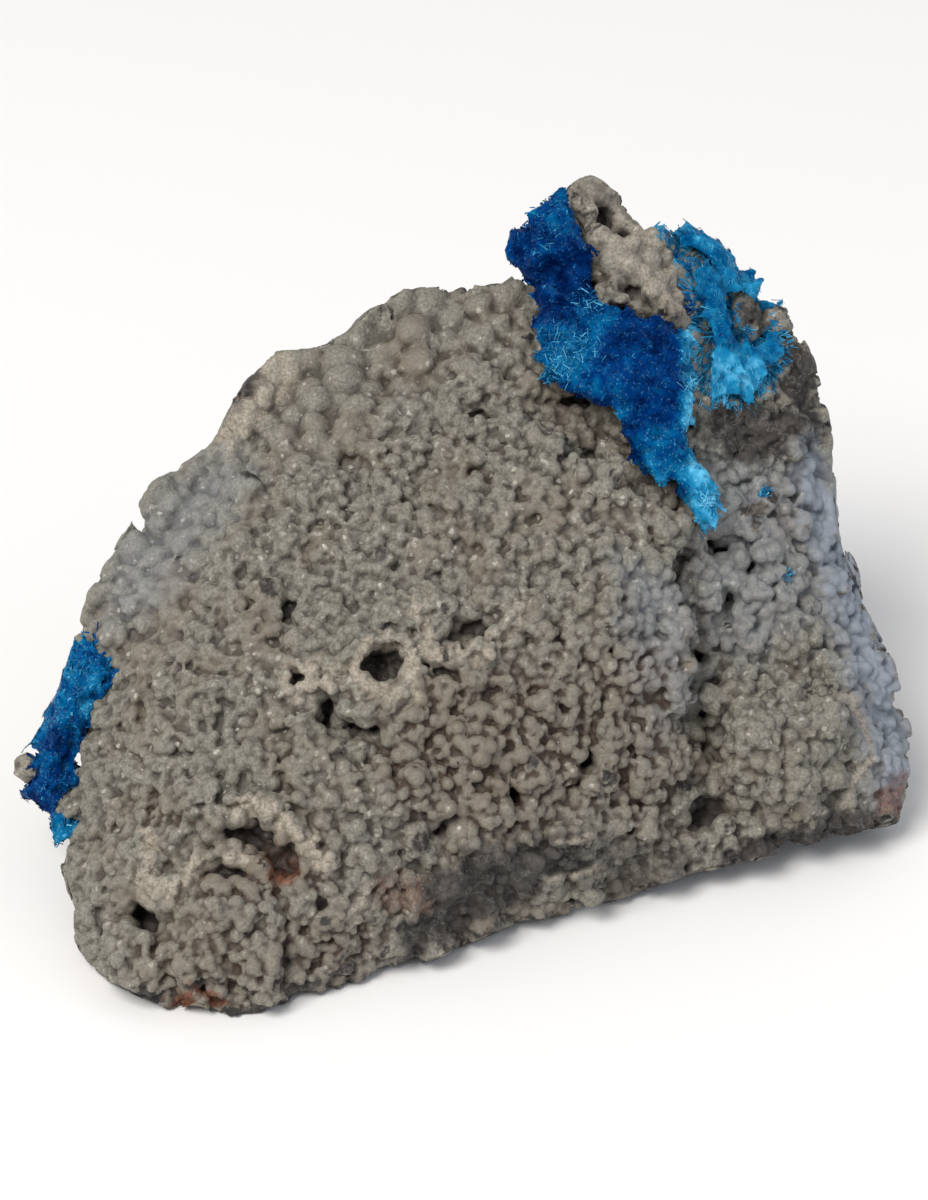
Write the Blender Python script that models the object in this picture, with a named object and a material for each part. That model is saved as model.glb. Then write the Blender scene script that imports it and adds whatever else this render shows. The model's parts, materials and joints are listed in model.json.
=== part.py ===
"""Cavansite specimen: blue crystal masses on a block of basalt under a knobbly grey crust.

Run it with blender --background --python part.py, or from the text editor.

The block stands on its flat base with the showy side facing -Y and up. Most points are given as they
are seen from that side, in millimetres: across and up are measured in a plane through the middle of the
block that leans back by DISPLAY_TILT, and toward is how far a point stands out of that plane.
"""

import math
import random

import bmesh
import bpy
from mathutils import Matrix, Vector, noise
from mathutils.bvhtree import BVHTree

MM = 0.001

# The display side: how far it leans back, from how far it is looked at, and what is in its middle.
DISPLAY_TILT = math.radians(30.0)
VIEWING_DISTANCE = 420.0
MIDDLE_Y = -8.0
MIDDLE_Z = 32.0
# How far back the block's outline lies, on average.
EDGE_TOWARD = -16.0

# A surface that faces the viewer at least this much, as a share of head on, is on the display side.
SEEN_FACING = 0.05

# The crust: knobs over the weathered sides of the block. The back is the bare break of the basalt.
KNOB_RADII = (1.8, 3.2)
# How rare the large knobs are: 1 is as many large as small.
KNOB_RARITY = 1.6
KNOB_CLOSENESS = 1.0
KNOB_SUNK = 0.2
# How far the knobs stay above the base.
KNOB_CLEARANCE = 1.0
KNOB_SEED = 7
# A surface that faces away more than this, as the +Y share of its normal, is bare.
BARE_FACING = 0.45

# The broken back: steps of the rock, each so high and so wide, with this many to a swing of the rock.
LEDGE_HEIGHT = 1.3
LEDGE_WIDTH = 13.0
LEDGE_NUMBER = 3
# The share of a step that is its slope, and the facing from which the steps fade in, and how quickly.
LEDGE_SLOPE = 0.25
LEDGE_FADE_START = BARE_FACING - 0.1
LEDGE_FADE = 0.25

# A pit's rim lies this many half sizes out, and its wall falls this steeply.
PIT_REACH = 1.5
PIT_STEEPNESS = 2.2

# How finely each solid is made.
ROCK_VOXEL = 0.8
ROCK_TRIANGLES = 6600
CREST_TRIANGLES = 1700
FLANK_TRIANGLES = 900
LEFT_TRIANGLES = 650
CRYSTAL_VOXEL = 0.6
BLADE_VOXEL = 0.28
# The gap that the crystals keep from what they grow on.
CRYSTAL_GAP = 0.65

# The relief of a crystal mass: steps and waves, each so wide and so high.
STEP_WIDTH = 1.5
STEP_HEIGHT = 0.6
WAVE_WIDTH = 2.4
WAVE_HEIGHT = 0.7

# Cavansite blades: how far apart they grow, and their length, width and thickness.
BLADE_SPACING = 2.6
BLADE_SPACING_SPREAD = (0.8, 1.15)
BLADE_LENGTH = (3.2, 5.0)
BLADE_WIDTH = (1.0, 1.7)
BLADE_THICKNESS = 0.7
# Where a blade's point begins, as a share of its length, and half the width of its chisel edge.
BLADE_SHOULDER = 0.78
BLADE_EDGE = 0.14
# How much a blade rises from the surface, how much it strays, and how much of it is sunk.
BLADE_RISE = (0.2, 0.7)
BLADE_STRAY = 0.45
BLADE_SUNK = 0.45
BLADE_SEED = 11

# Colours, as shares of red, green and blue in linear light, and how rough they are.
CRUST_COLOUR = (0.26, 0.24, 0.21)
CRUST_ROUGHNESS = 0.8
CAVANSITE_COLOUR = (0.01, 0.12, 0.45)
CAVANSITE_ROUGHNESS = 0.35
PALE_CRUST_COLOUR = (0.34, 0.32, 0.28)

# Blocks of the rock. Each is the convex hull of its corners: (across, up, toward).
FRONT_FACE = [
    (-33.5, -37.2, 7.0), (-29.0, -33.0, 8.5), (-22.0, -30.0, 9.5), (-10.0, -24.0, 7.0),
    (-31.0, -20.0, 3.0), (-28.0, -8.0, 1.0), (-22.0, 4.0, -3.0), (-10.0, -8.0, 4.5),
    (0.0, -10.0, 4.5), (4.0, -20.0, 3.0), (0.0, 10.0, -3.0), (8.0, 16.5, -7.0),
    (14.0, 0.0, 1.0), (16.5, 10.5, -4.0), (20.5, 8.0, -6.0), (22.5, 0.0, -5.0),
    (22.5, -10.0, -6.0), (21.0, -18.0, -7.0), (17.0, -24.0, -6.0), (-19.0, 11.0, -8.0),
    (-10.0, 13.0, -7.5), (2.0, 15.5, -7.5),
]
LEFT_EDGE = [
    (-36.0, -38.0, 2.0), (-38.0, -33.4, -1.0), (-38.6, -28.0, -4.0), (-38.6, -20.0, -7.0),
    (-38.8, -12.0, -8.5), (-38.6, -4.0, -11.0), (-36.0, 2.4, -13.0), (-32.0, 7.6, -14.0),
    (-28.4, 10.6, -15.0), (-23.8, 15.8, -16.0), (-22.8, 19.8, -17.0), (-20.2, 23.4, -17.0),
]
TOP_EDGE = [
    (-18.6, 24.6, -17.0), (-12.8, 25.0, -18.0), (-9.8, 27.6, -18.0), (-6.5, 30.2, -18.0),
    (-3.4, 30.8, -18.0), (3.6, 31.2, -18.0), (9.0, 31.0, -17.0), (22.0, 35.0, -18.0),
]
BAY_FLOOR = [(-16.0, 16.0, -12.5), (-5.0, 22.0, -13.0), (6.0, 23.0, -12.5), (12.0, 20.0, -12.0)]
CREST_TOP = [
    (20.0, 37.0, -15.0), (23.2, 36.4, -16.0), (25.2, 34.6, -17.0), (28.0, 32.4, -18.0),
    (31.0, 29.2, -19.5), (33.0, 26.6, -20.5),
]
RIGHT_EDGE = [
    (34.6, 23.4, -21.5), (35.6, 19.4, -22.0), (35.2, 13.0, -22.0), (35.6, 9.4, -22.0),
    (35.0, 5.2, -22.0), (38.6, -2.2, -22.0), (42.4, -8.6, -22.0), (44.2, -15.6, -21.0),
    (44.0, -19.8, -18.0), (42.4, -21.4, -15.0), (36.4, -22.2, -13.0), (31.2, -24.0, -12.0),
]
FLANK_FACE = [
    (22.0, 28.0, -12.0), (22.5, 18.0, -12.0), (24.5, 10.0, -11.5), (25.5, 0.0, -12.0),
    (25.5, -8.0, -12.5), (31.0, 15.0, -15.0), (32.0, 0.0, -13.5), (36.5, -5.0, -15.5),
    (39.5, -15.0, -15.0), (25.0, -25.0, -11.0), (20.0, -25.6, -9.0),
]
SHOULDER = [
    (24.8, -9.0, -10.0), (30.0, -8.2, -8.5), (37.0, -9.4, -12.0), (38.8, -15.0, -12.0),
    (37.2, -21.2, -12.5), (31.5, -23.5, -11.5), (26.5, -21.5, -12.0), (31.0, -15.0, -6.2),
    (34.8, -14.0, -7.5), (30.0, -19.5, -7.5), (30.0, -15.0, -20.0),
]
FIN = [
    (12.4, 41.0, -12.5), (11.4, 39.0, -11.5), (14.6, 39.8, -13.0), (17.8, 38.2, -13.0),
    (19.0, 37.0, -13.0), (13.8, 33.6, -8.5), (14.8, 32.0, -8.2), (12.4, 40.6, -17.0),
    (19.0, 36.4, -18.0), (15.0, 24.0, -18.0), (21.6, 31.6, -10.5), (22.3, 28.2, -7.6),
    (20.6, 28.4, -7.4), (17.6, 30.6, -7.8), (22.5, 22.0, -18.0), (11.4, 30.0, -16.0),
]

# The front edge of the base as it is seen: (across, up, height above the table).
BASE_FRONT = [
    (-29.4, -39.6, 0.0), (-23.4, -40.2, 0.0), (-11.9, -36.6, 0.4), (0.6, -32.4, 1.2),
    (9.0, -30.2, 1.6), (20.0, -26.2, 3.4),
]
# The hidden side and the underside, in the block's own frame: (x, y, z).
UNDERSIDE = [
    (-33.0, -28.0, -1.5), (-22.0, -35.0, -1.5), (4.0, -18.0, -1.5), (27.0, -6.0, -1.5),
    (36.0, 8.0, -1.5), (30.0, 25.0, -1.5), (-4.0, 29.0, -1.5), (-29.0, 17.0, -1.5),
]
BACK_FACE = [
    (-34.0, 8.0, 12.0), (-27.0, 22.0, 18.0), (-18.0, 24.0, 34.0), (-5.0, 32.0, 26.0),
    (8.0, 30.0, 46.0), (22.0, 31.0, 30.0), (36.0, 24.0, 14.0), (28.0, 26.0, 40.0),
]

# Knobs and clusters that stand out of the display side: (across, up, radius).
LARGE_KNOBS = [
    (-10.6, 17.6, 2.6), (-12.6, 20.6, 2.4), (-17.2, 15.6, 2.0), (-17.8, 13.4, 1.8),
    (-17.2, 10.4, 1.8), (-6.8, 19.6, 2.4), (-1.5, 21.0, 2.2), (1.8, 22.2, 3.0),
    (5.4, 19.6, 1.7), (-4.6, 27.2, 2.8), (2.6, 27.6, 2.6), (-24.0, -31.2, 2.8),
    (-9.8, -20.6, 2.8), (-5.2, -19.0, 3.0), (-3.0, -23.6, 2.2), (0.6, -21.4, 2.4),
    (-35.0, -27.6, 2.8), (-30.2, -13.0, 2.8), (-20.6, -36.2, 3.8), (-26.6, -35.8, 3.2),
    (-13.5, -31.2, 3.0), (-31.6, -36.6, 2.4), (-15.6, -28.6, 2.2), (-9.6, -28.0, 2.0),
    (24.2, -0.4, 2.2), (23.4, 4.6, 2.0), (22.4, 9.4, 2.0), (21.6, -8.6, 2.2),
    (29.6, -13.4, 3.4), (35.4, -11.6, 3.4), (33.0, -18.4, 3.0), (27.4, -16.4, 2.4),
    (30.0, 0.4, 2.6), (32.6, -4.4, 2.4), (-34.4, 3.0, 2.2), (-31.4, -1.0, 1.8),
]
# Ridges of broken crust, as runs of small knobs: (from across, up, to across, up, radius, number).
CRUST_RIMS = [
    (-32.8, -25.0, -31.2, -31.0, 1.6, 4), (-30.6, -30.8, -24.4, -25.6, 1.5, 5),
    (-24.0, -25.6, -19.6, -26.8, 1.3, 4), (-24.8, -22.2, -19.0, -20.6, 1.6, 5),
    (-18.6, -20.8, -13.4, -27.0, 1.7, 5), (-18.6, -9.6, -15.4, -6.4, 1.3, 4),
    (-11.4, -10.0, -4.6, -11.4, 1.8, 5), (-10.8, -6.2, -5.0, -5.4, 1.2, 5),
    (-4.6, -5.4, 0.8, -6.6, 1.2, 4), (-4.0, -1.6, 4.0, -0.4, 1.2, 5), (2.0, -6.0, 5.0, -2.6, 1.2, 3),
    (37.6, -8.6, 41.0, -15.2, 1.4, 4), (41.0, -15.2, 38.6, -22.0, 1.4, 4), (-21.0, 23.6, -24.6, 16.4, 1.3, 5),
]
# Pits, hollows and cracks of the display side: (across, up, half width, half height, depth).
PITS = [
    (-7.6, -7.4, 1.6, 1.5, 2.4), (-12.8, -12.2, 1.3, 2.4, 3.6), (-8.6, -14.0, 2.8, 1.2, 3.0),
    (-16.4, -7.9, 1.2, 1.2, 1.8), (-31.4, -31.4, 2.0, 1.6, 4.2), (-21.2, -24.2, 2.6, 1.4, 2.8),
    (-4.0, -22.6, 1.6, 1.2, 2.4), (4.6, -19.6, 1.6, 1.4, 3.0), (25.8, -20.4, 2.6, 2.0, 3.6),
    (25.8, 5.4, 1.8, 1.4, 2.8), (25.6, -1.0, 1.4, 2.0, 2.6), (24.2, -15.2, 1.6, 2.6, 3.0),
    (-12.4, 13.4, 1.8, 1.3, 3.0), (-3.0, 17.6, 3.0, 1.2, 2.0), (-18.0, 0.4, 1.6, 1.8, 2.4),
    (0.4, -3.6, 3.4, 1.1, 1.4), (34.0, -26.4, 4.0, 1.4, 1.6), (14.4, 38.6, 1.5, 1.7, 2.4),
    (16.0, 36.6, 1.0, 0.8, 1.6), (-17.6, -32.6, 1.8, 1.6, 2.4), (12.2, 20.0, 3.4, 1.1, 2.6),
]

# Cavansite masses: the hearts that their blades grow away from (across, up, toward).
CREST_HEART = (15.0, 25.0, -14.0)
FLANK_HEART = (25.0, 28.0, -20.0)
LEFT_HEART = (-37.0, -14.0, -11.0)
# The corners of their overlapping blocks (across, up, toward).
CREST_CAP = [
    (10.4, 41.3, -12.6), (6.6, 38.5, -12.2), (4.3, 34.9, -12.6), (5.2, 32.2, -13.0),
    (7.4, 31.6, -11.6), (13.4, 31.6, -9.6), (14.2, 34.4, -9.8), (12.4, 38.2, -11.0),
    (8.0, 35.0, -9.6), (11.6, 34.6, -8.8), (10.6, 39.8, -16.0), (6.4, 34.6, -16.0),
    (13.4, 31.6, -16.0),
]
CREST_NECK = [
    (7.4, 32.0, -12.0), (13.6, 32.0, -10.6), (17.0, 30.0, -9.4), (8.0, 28.4, -11.0),
    (16.0, 28.0, -9.6), (8.0, 32.0, -17.0), (17.0, 30.0, -17.0), (8.4, 28.0, -16.0),
]
CREST_FAN = [
    (8.2, 29.4, -9.6), (13.0, 29.2, -7.8), (20.4, 27.4, -6.4), (22.4, 26.4, -6.4),
    (8.0, 26.0, -8.8), (8.4, 22.8, -8.2), (9.6, 20.9, -8.0), (14.8, 19.6, -6.2),
    (22.5, 19.0, -5.6), (16.0, 25.0, -5.8), (20.0, 23.0, -5.2), (9.0, 28.0, -15.0),
    (22.4, 27.0, -14.0), (22.4, 19.0, -14.0), (10.0, 21.4, -13.0),
]
CREST_TAIL = [
    (14.4, 20.4, -6.4), (16.6, 16.0, -6.0), (18.8, 12.6, -6.0), (21.6, 11.6, -5.8),
    (22.4, 15.0, -5.4), (22.5, 20.4, -5.6), (15.0, 20.0, -13.0), (22.4, 20.0, -13.0),
    (19.0, 12.6, -12.0), (22.0, 12.0, -12.0),
]
CREST_TIP = [
    (21.0, 12.8, -6.0), (22.6, 14.4, -5.8), (24.6, 11.8, -6.2), (25.2, 8.8, -6.6),
    (24.6, 7.2, -7.2), (23.8, 7.6, -7.0), (23.2, 10.4, -6.4), (21.8, 11.4, -12.0),
    (24.8, 8.0, -12.0), (23.0, 14.0, -12.0),
]
# The spray over the flank, as lobes that stand half out of the rock: (across, up, radius).
FLANK_SUNK = 0.35
FLANK_LOBES = [
    (21.2, 36.4, 2.4), (23.4, 35.2, 3.0), (25.8, 33.2, 3.0), (24.2, 31.4, 3.0), (24.8, 28.6, 3.0),
    (28.2, 31.0, 2.4), (30.4, 28.8, 1.8), (25.2, 25.4, 3.0), (28.0, 23.6, 3.0), (26.2, 22.0, 2.8),
    (30.2, 24.6, 2.6), (24.4, 21.0, 2.4), (31.2, 26.6, 2.0), (28.0, 20.8, 2.2),
]
# The band on the left edge, which hangs over it.
LEFT_BAND = [
    [(-38.9, -4.0, -8.0), (-34.6, -4.2, -5.6), (-35.0, -7.2, -4.8), (-36.6, -9.4, -5.0),
     (-40.6, -9.6, -7.4), (-37.0, -6.0, -15.0)],
    [(-41.4, -9.2, -8.6), (-37.0, -8.4, -5.2), (-38.8, -11.6, -5.6), (-39.8, -13.2, -6.2),
     (-40.2, -16.8, -6.8), (-42.8, -15.4, -9.0), (-42.4, -12.8, -9.0), (-39.0, -12.0, -15.0)],
    [(-43.0, -15.4, -10.5), (-40.2, -16.0, -7.2), (-39.4, -19.6, -7.0), (-38.8, -21.4, -7.0),
     (-41.8, -20.6, -9.0), (-43.6, -19.4, -10.5), (-39.0, -18.0, -15.0)],
    [(-41.6, -20.2, -9.0), (-38.9, -20.4, -7.0), (-39.2, -24.6, -6.8), (-39.9, -24.6, -7.0),
     (-39.0, -22.0, -12.0)],
]
# Where cavansite grows there is no crust: (across, up, radius).
CRYSTAL_SEATS = [(-37.5, -6.5, 3.6), (-40.0, -14.0, 4.5), (26.0, 29.5, 8.5), (27.5, 22.0, 6.0)]
# The small ball of crust at the tip of the left band (across, up, toward), and how flat it is.
LEFT_KNOB = (-43.7, -16.7, -10.0)
LEFT_KNOB_RADIUS = 1.7
LEFT_KNOB_FLATNESS = 0.9


def seen(across, up, toward):
    """The point in metres that is seen at this place on the display side."""
    nearer = 1 - toward / VIEWING_DISTANCE
    rise = up * nearer
    y = MIDDLE_Y + rise * math.sin(DISPLAY_TILT) - toward * math.cos(DISPLAY_TILT)
    z = MIDDLE_Z + rise * math.cos(DISPLAY_TILT) + toward * math.sin(DISPLAY_TILT)
    return Vector((across * nearer, y, z)) * MM


def seen_at_height(across, up, height):
    """The point in metres that is seen at this place and stands this high above the table."""
    rise = up * math.cos(DISPLAY_TILT)
    toward = (height - MIDDLE_Z - rise) / (math.sin(DISPLAY_TILT) - rise / VIEWING_DISTANCE)
    return seen(across, up, toward)


def eye():
    """Where the viewer's eye is, in metres."""
    back = Vector((0, -math.cos(DISPLAY_TILT), math.sin(DISPLAY_TILT)))
    return (Vector((0, MIDDLE_Y, MIDDLE_Z)) + back * VIEWING_DISTANCE) * MM


def where_seen(place):
    """The across and up at which a point is seen, in millimetres."""
    centre = Vector((0, MIDDLE_Y, MIDDLE_Z)) * MM
    lean = Vector((0, math.sin(DISPLAY_TILT), math.cos(DISPLAY_TILT)))
    away = (eye() - centre).normalized().dot(eye() - place) / MM
    scale = VIEWING_DISTANCE / away / MM
    return (place - centre).x * scale, (place - centre).dot(lean) * scale


def material(name, colour, roughness):
    """A Principled material of one colour."""
    made = bpy.data.materials.new(name)
    made.use_nodes = True
    shader = made.node_tree.nodes["Principled BSDF"]
    shader.inputs["Base Color"].default_value = (*colour, 1.0)
    shader.inputs["Roughness"].default_value = roughness
    return made


def add_hull(bm, points):
    """Adds the convex hull of the points to a mesh."""
    corners = [bm.verts.new(p) for p in points]
    made = bmesh.ops.convex_hull(bm, input=corners)
    loose = {v for v in made["geom_interior"] if isinstance(v, bmesh.types.BMVert)}
    bmesh.ops.delete(bm, geom=list(loose), context="VERTS")


def add_lobe(bm, centre, radius, flat=1.0, subdivisions=2):
    """Adds a ball to a mesh, flattened towards the viewer. The radius is in millimetres."""
    lean = Matrix.Rotation(-DISPLAY_TILT, 4, "X")
    shape = Matrix.Translation(centre) @ lean @ Matrix.Diagonal((1.0, flat, 1.0, 1.0))
    bmesh.ops.create_icosphere(bm, subdivisions=subdivisions, radius=radius * MM, matrix=shape)


def add_object(name, bm, finish=None):
    """Turns a mesh into an object of the scene."""
    mesh = bpy.data.meshes.new(name)
    bm.to_mesh(mesh)
    bm.free()
    obj = bpy.data.objects.new(name, mesh)
    bpy.context.scene.collection.objects.link(obj)
    if finish is not None:
        mesh.materials.append(finish)
    return obj


def apply_modifiers(obj):
    """Replaces an object's mesh by what its modifiers make of it."""
    graph = bpy.context.evaluated_depsgraph_get()
    made = bpy.data.meshes.new_from_object(obj.evaluated_get(graph))
    obj.modifiers.clear()
    old = obj.data
    obj.data = made
    bpy.data.meshes.remove(old)


def fuse(obj, voxel):
    """Makes one closed skin of an object's overlapping shells."""
    remesh = obj.modifiers.new("fuse", "REMESH")
    remesh.mode = "VOXEL"
    remesh.voxel_size = voxel * MM
    apply_modifiers(obj)


def thin_out(obj, triangles):
    """Keeps about this many triangles, the most where the surface bends."""
    bm = bmesh.new()
    bm.from_mesh(obj.data)
    bmesh.ops.triangulate(bm, faces=bm.faces[:])
    bm.to_mesh(obj.data)
    bm.free()
    decimate = obj.modifiers.new("thin out", "DECIMATE")
    decimate.ratio = min(1.0, triangles / len(obj.data.polygons))
    apply_modifiers(obj)


def reshape(obj, moved):
    """Moves each point of a mesh by a rule of its place and normal."""
    bm = bmesh.new()
    bm.from_mesh(obj.data)
    bm.normal_update()
    places = [moved(v.co, v.normal) for v in bm.verts]
    for v, place in zip(bm.verts, places):
        v.co = place
    bm.to_mesh(obj.data)
    bm.free()


def keep_largest_body(obj):
    """Deletes the crumbs that a cut leaves beside the main body."""
    bm = bmesh.new()
    bm.from_mesh(obj.data)
    waiting = set(bm.verts)
    bodies = []
    while waiting:
        edge_of_search = [waiting.pop()]
        body = set(edge_of_search)
        while edge_of_search:
            v = edge_of_search.pop()
            near = {e.other_vert(v) for e in v.link_edges} - body
            body |= near
            edge_of_search.extend(near)
        waiting -= body
        bodies.append(body)
    largest = max(bodies, key=len)
    bmesh.ops.delete(bm, geom=[v for v in bm.verts if v not in largest], context="VERTS")
    bm.to_mesh(obj.data)
    bm.free()


def tree_of(obj):
    """A search tree over an object's faces."""
    bm = bmesh.new()
    bm.from_mesh(obj.data)
    tree = BVHTree.FromBMesh(bm)
    bm.free()
    return tree


def on_face(tree, across, up):
    """Where the line of sight at this place meets the surface, or passes it: the point and its normal."""
    start = eye()
    direction = (seen(across, up, 0.0) - start).normalized()
    point, normal, _, _ = tree.ray_cast(start, direction)
    if point is None:
        point, normal, _, _ = tree.find_nearest(seen(across, up, EDGE_TOWARD))
    return point, normal


def rough_block():
    """The block's main masses as one closed skin."""
    bm = bmesh.new()
    back = [Vector(p) * MM for p in UNDERSIDE + BACK_FACE]
    base_front = [seen_at_height(*p) for p in BASE_FRONT]
    add_hull(bm, [seen(*p) for p in FRONT_FACE + LEFT_EDGE] + base_front + back[:3] + back[7:11])
    add_hull(bm, [seen(*p) for p in LEFT_EDGE + TOP_EDGE + BAY_FLOOR] + back)
    flank = FLANK_FACE + CREST_TOP + RIGHT_EDGE + TOP_EDGE[-2:]
    add_hull(bm, [seen(*p) for p in flank] + back[2:7] + back[11:])
    add_hull(bm, [seen(*p) for p in SHOULDER])
    add_hull(bm, [seen(*p) for p in FIN])
    block = add_object("matrix", bm)
    fuse(block, ROCK_VOXEL)
    return block


def scattered_places(obj, spacing, seed):
    """Places over a surface, no two closer than the spacing in millimetres, with their normals."""
    draw = random.Random(seed)
    mesh = obj.data
    found = []
    for index in draw.sample(range(len(mesh.polygons)), len(mesh.polygons)):
        face = mesh.polygons[index]
        apart = spacing * MM * draw.uniform(*BLADE_SPACING_SPREAD)
        if all((face.center - place).length > apart for place, _ in found):
            found.append((face.center.copy(), face.normal.copy()))
    return found


def scattered_knobs(obj):
    """Knobs of the crust, side by side over all but the bare back: place, normal and radius."""
    draw = random.Random(KNOB_SEED)
    mesh = obj.data
    found = []
    for index in draw.sample(range(len(mesh.polygons)), len(mesh.polygons)):
        face = mesh.polygons[index]
        small, large = KNOB_RADII
        radius = small + (large - small) * draw.random() ** KNOB_RARITY
        if face.normal.y > BARE_FACING or face.center.z < (radius + KNOB_CLEARANCE) * MM:
            continue
        across, up = where_seen(face.center)
        if any(math.hypot(across - a, up - u) < r for a, u, r in CRYSTAL_SEATS):
            continue
        if all((face.center - p).length > (radius + r) * KNOB_CLOSENESS * MM for p, _, r in found):
            found.append((face.center.copy(), face.normal.copy(), radius))
    return found


def add_knobs(block):
    """Grows the crust's knobs, clusters and rims out of the block."""
    tree = tree_of(block)
    bm = bmesh.new()
    bm.from_mesh(block.data)
    for place, normal, radius in scattered_knobs(block):
        add_lobe(bm, place - normal * radius * KNOB_SUNK * MM, radius)
    for across, up, radius in LARGE_KNOBS:
        place, normal = on_face(tree, across, up)
        add_lobe(bm, place - normal * radius * KNOB_SUNK * MM, radius)
    for across, up, to_across, to_up, radius, number in CRUST_RIMS:
        for step in range(number):
            share = step / (number - 1)
            place, _ = on_face(tree, across + (to_across - across) * share, up + (to_up - up) * share)
            add_lobe(bm, place, radius)
    bm.to_mesh(block.data)
    bm.free()
    fuse(block, ROCK_VOXEL)


def break_back(place, normal):
    """Steps in the bare break at the back, which fade out where the crust begins."""
    wave = noise.noise(place / (LEDGE_WIDTH * MM)) * LEDGE_NUMBER
    step = math.floor(wave)
    slope = max(0.0, 1 - (step + 1 - wave) / LEDGE_SLOPE)
    height = (step + slope) * LEDGE_HEIGHT
    share = min(1.0, max(0.0, (normal.y - LEDGE_FADE_START) / LEDGE_FADE))
    return place + normal * height * share * MM


def sink_pits(place, normal):
    """Presses the display side's pits and hollows in."""
    direction = (eye() - place).normalized()
    if normal.dot(direction) < SEEN_FACING:
        return place
    across, up = where_seen(place)
    for pit_across, pit_up, half_width, half_height, depth in PITS:
        off = math.hypot((across - pit_across) / half_width, (up - pit_up) / half_height)
        if off < PIT_REACH:
            place = place - direction * depth * MM * math.exp(-PIT_STEEPNESS * off * off)
    return place


def cut_flat_base(obj):
    """Cuts the block off level, so that it stands on one flat face."""
    bm = bmesh.new()
    bm.from_mesh(obj.data)
    whole = bm.verts[:] + bm.edges[:] + bm.faces[:]
    level = {"plane_co": (0, 0, 0), "plane_no": (0, 0, 1)}
    bmesh.ops.bisect_plane(bm, geom=whole, dist=1e-6, clear_inner=True, **level)
    rim = [e for e in bm.edges if e.is_boundary]
    bmesh.ops.holes_fill(bm, edges=rim)
    bmesh.ops.recalc_face_normals(bm, faces=bm.faces[:])
    bm.to_mesh(obj.data)
    bm.free()


def build_matrix():
    """The basalt block with its crust."""
    block = rough_block()
    add_knobs(block)
    reshape(block, break_back)
    reshape(block, sink_pits)
    thin_out(block, ROCK_TRIANGLES)
    cut_flat_base(block)
    block.data.materials.clear()
    block.data.materials.append(material("grey crust on basalt", CRUST_COLOUR, CRUST_ROUGHNESS))
    return block


def crystal_relief(place, normal):
    """The jagged relief of a mass of small blades."""
    step = (noise.cell(place / (STEP_WIDTH * MM)) - 0.5) * STEP_HEIGHT
    wave = noise.noise(place / (WAVE_WIDTH * MM)) * WAVE_HEIGHT
    return place + normal * (step + wave) * MM


def add_blade(bm, root, direction, size):
    """Adds a flat four-sided blade with a chisel point. The size is its length, width and thickness."""
    length, width, thickness = (value * MM for value in size)
    turn = direction.to_track_quat("Z", "X")
    edge = [(1, 0), (0, 1), (-1, 0), (0, -1)]
    corners = [(x * width / 2, y * thickness / 2, z) for z in (0, length * BLADE_SHOULDER) for x, y in edge]
    tip = [(width * BLADE_EDGE, 0, length), (-width * BLADE_EDGE, 0, length)]
    add_hull(bm, [root + turn @ Vector(p) for p in corners + tip])


def add_blades(mass, heart):
    """Grows blades out of a crystal mass, along its surface and away from its heart."""
    draw = random.Random(BLADE_SEED)
    bm = bmesh.new()
    bm.from_mesh(mass.data)
    for place, normal in scattered_places(mass, BLADE_SPACING, BLADE_SEED):
        outward = place - heart
        along = (outward - normal * outward.dot(normal)).normalized()
        stray = Vector([draw.uniform(-BLADE_STRAY, BLADE_STRAY) for _ in range(3)])
        direction = (along + normal * draw.uniform(*BLADE_RISE) + stray).normalized()
        size = (draw.uniform(*BLADE_LENGTH), draw.uniform(*BLADE_WIDTH), BLADE_THICKNESS)
        add_blade(bm, place - direction * size[0] * BLADE_SUNK * MM, direction, size)
    bm.to_mesh(mass.data)
    bm.free()


def cut_clear(obj, neighbour):
    """Cuts an object back until it is clear of its neighbour all round by the gap that they keep."""
    bm = bmesh.new()
    bm.from_mesh(neighbour.data)
    bm.normal_update()
    for v, place in [(v, v.co + v.normal * CRYSTAL_GAP * MM) for v in bm.verts]:
        v.co = place
    cutter = add_object("cutter", bm)
    cutter.hide_render = True
    cutter.display_type = "WIRE"
    boolean = obj.modifiers.new("cut clear", "BOOLEAN")
    boolean.operation = "DIFFERENCE"
    boolean.object = cutter
    apply_modifiers(obj)
    bpy.data.objects.remove(cutter)
    fuse(obj, BLADE_VOXEL)
    keep_largest_body(obj)


def grow_crystals(mass, neighbours, triangles, heart):
    """Makes a crystal mass one faceted solid with blades, cut clear of what it grows on."""
    fuse(mass, CRYSTAL_VOXEL)
    reshape(mass, crystal_relief)
    add_blades(mass, heart)
    fuse(mass, BLADE_VOXEL)
    for neighbour in neighbours:
        cut_clear(mass, neighbour)
    thin_out(mass, triangles)


def build_crest(block, finish):
    """The main cavansite mass: a cap that leans out over the shoulder, a fan and a narrow tail."""
    bm = bmesh.new()
    for corners in (CREST_CAP, CREST_NECK, CREST_FAN, CREST_TAIL, CREST_TIP):
        add_hull(bm, [seen(*p) for p in corners])
    mass = add_object("cavansite_crest", bm, finish)
    grow_crystals(mass, [block], CREST_TRIANGLES, seen(*CREST_HEART))
    return mass


def build_flank(block, finish):
    """The thin cavansite spray over the right flank."""
    tree = tree_of(block)
    bm = bmesh.new()
    for across, up, radius in FLANK_LOBES:
        place, normal = on_face(tree, across, up)
        add_lobe(bm, place - normal * FLANK_SUNK * radius * MM, radius)
    spray = add_object("cavansite_flank", bm, finish)
    grow_crystals(spray, [block], FLANK_TRIANGLES, seen(*FLANK_HEART))
    return spray


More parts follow.
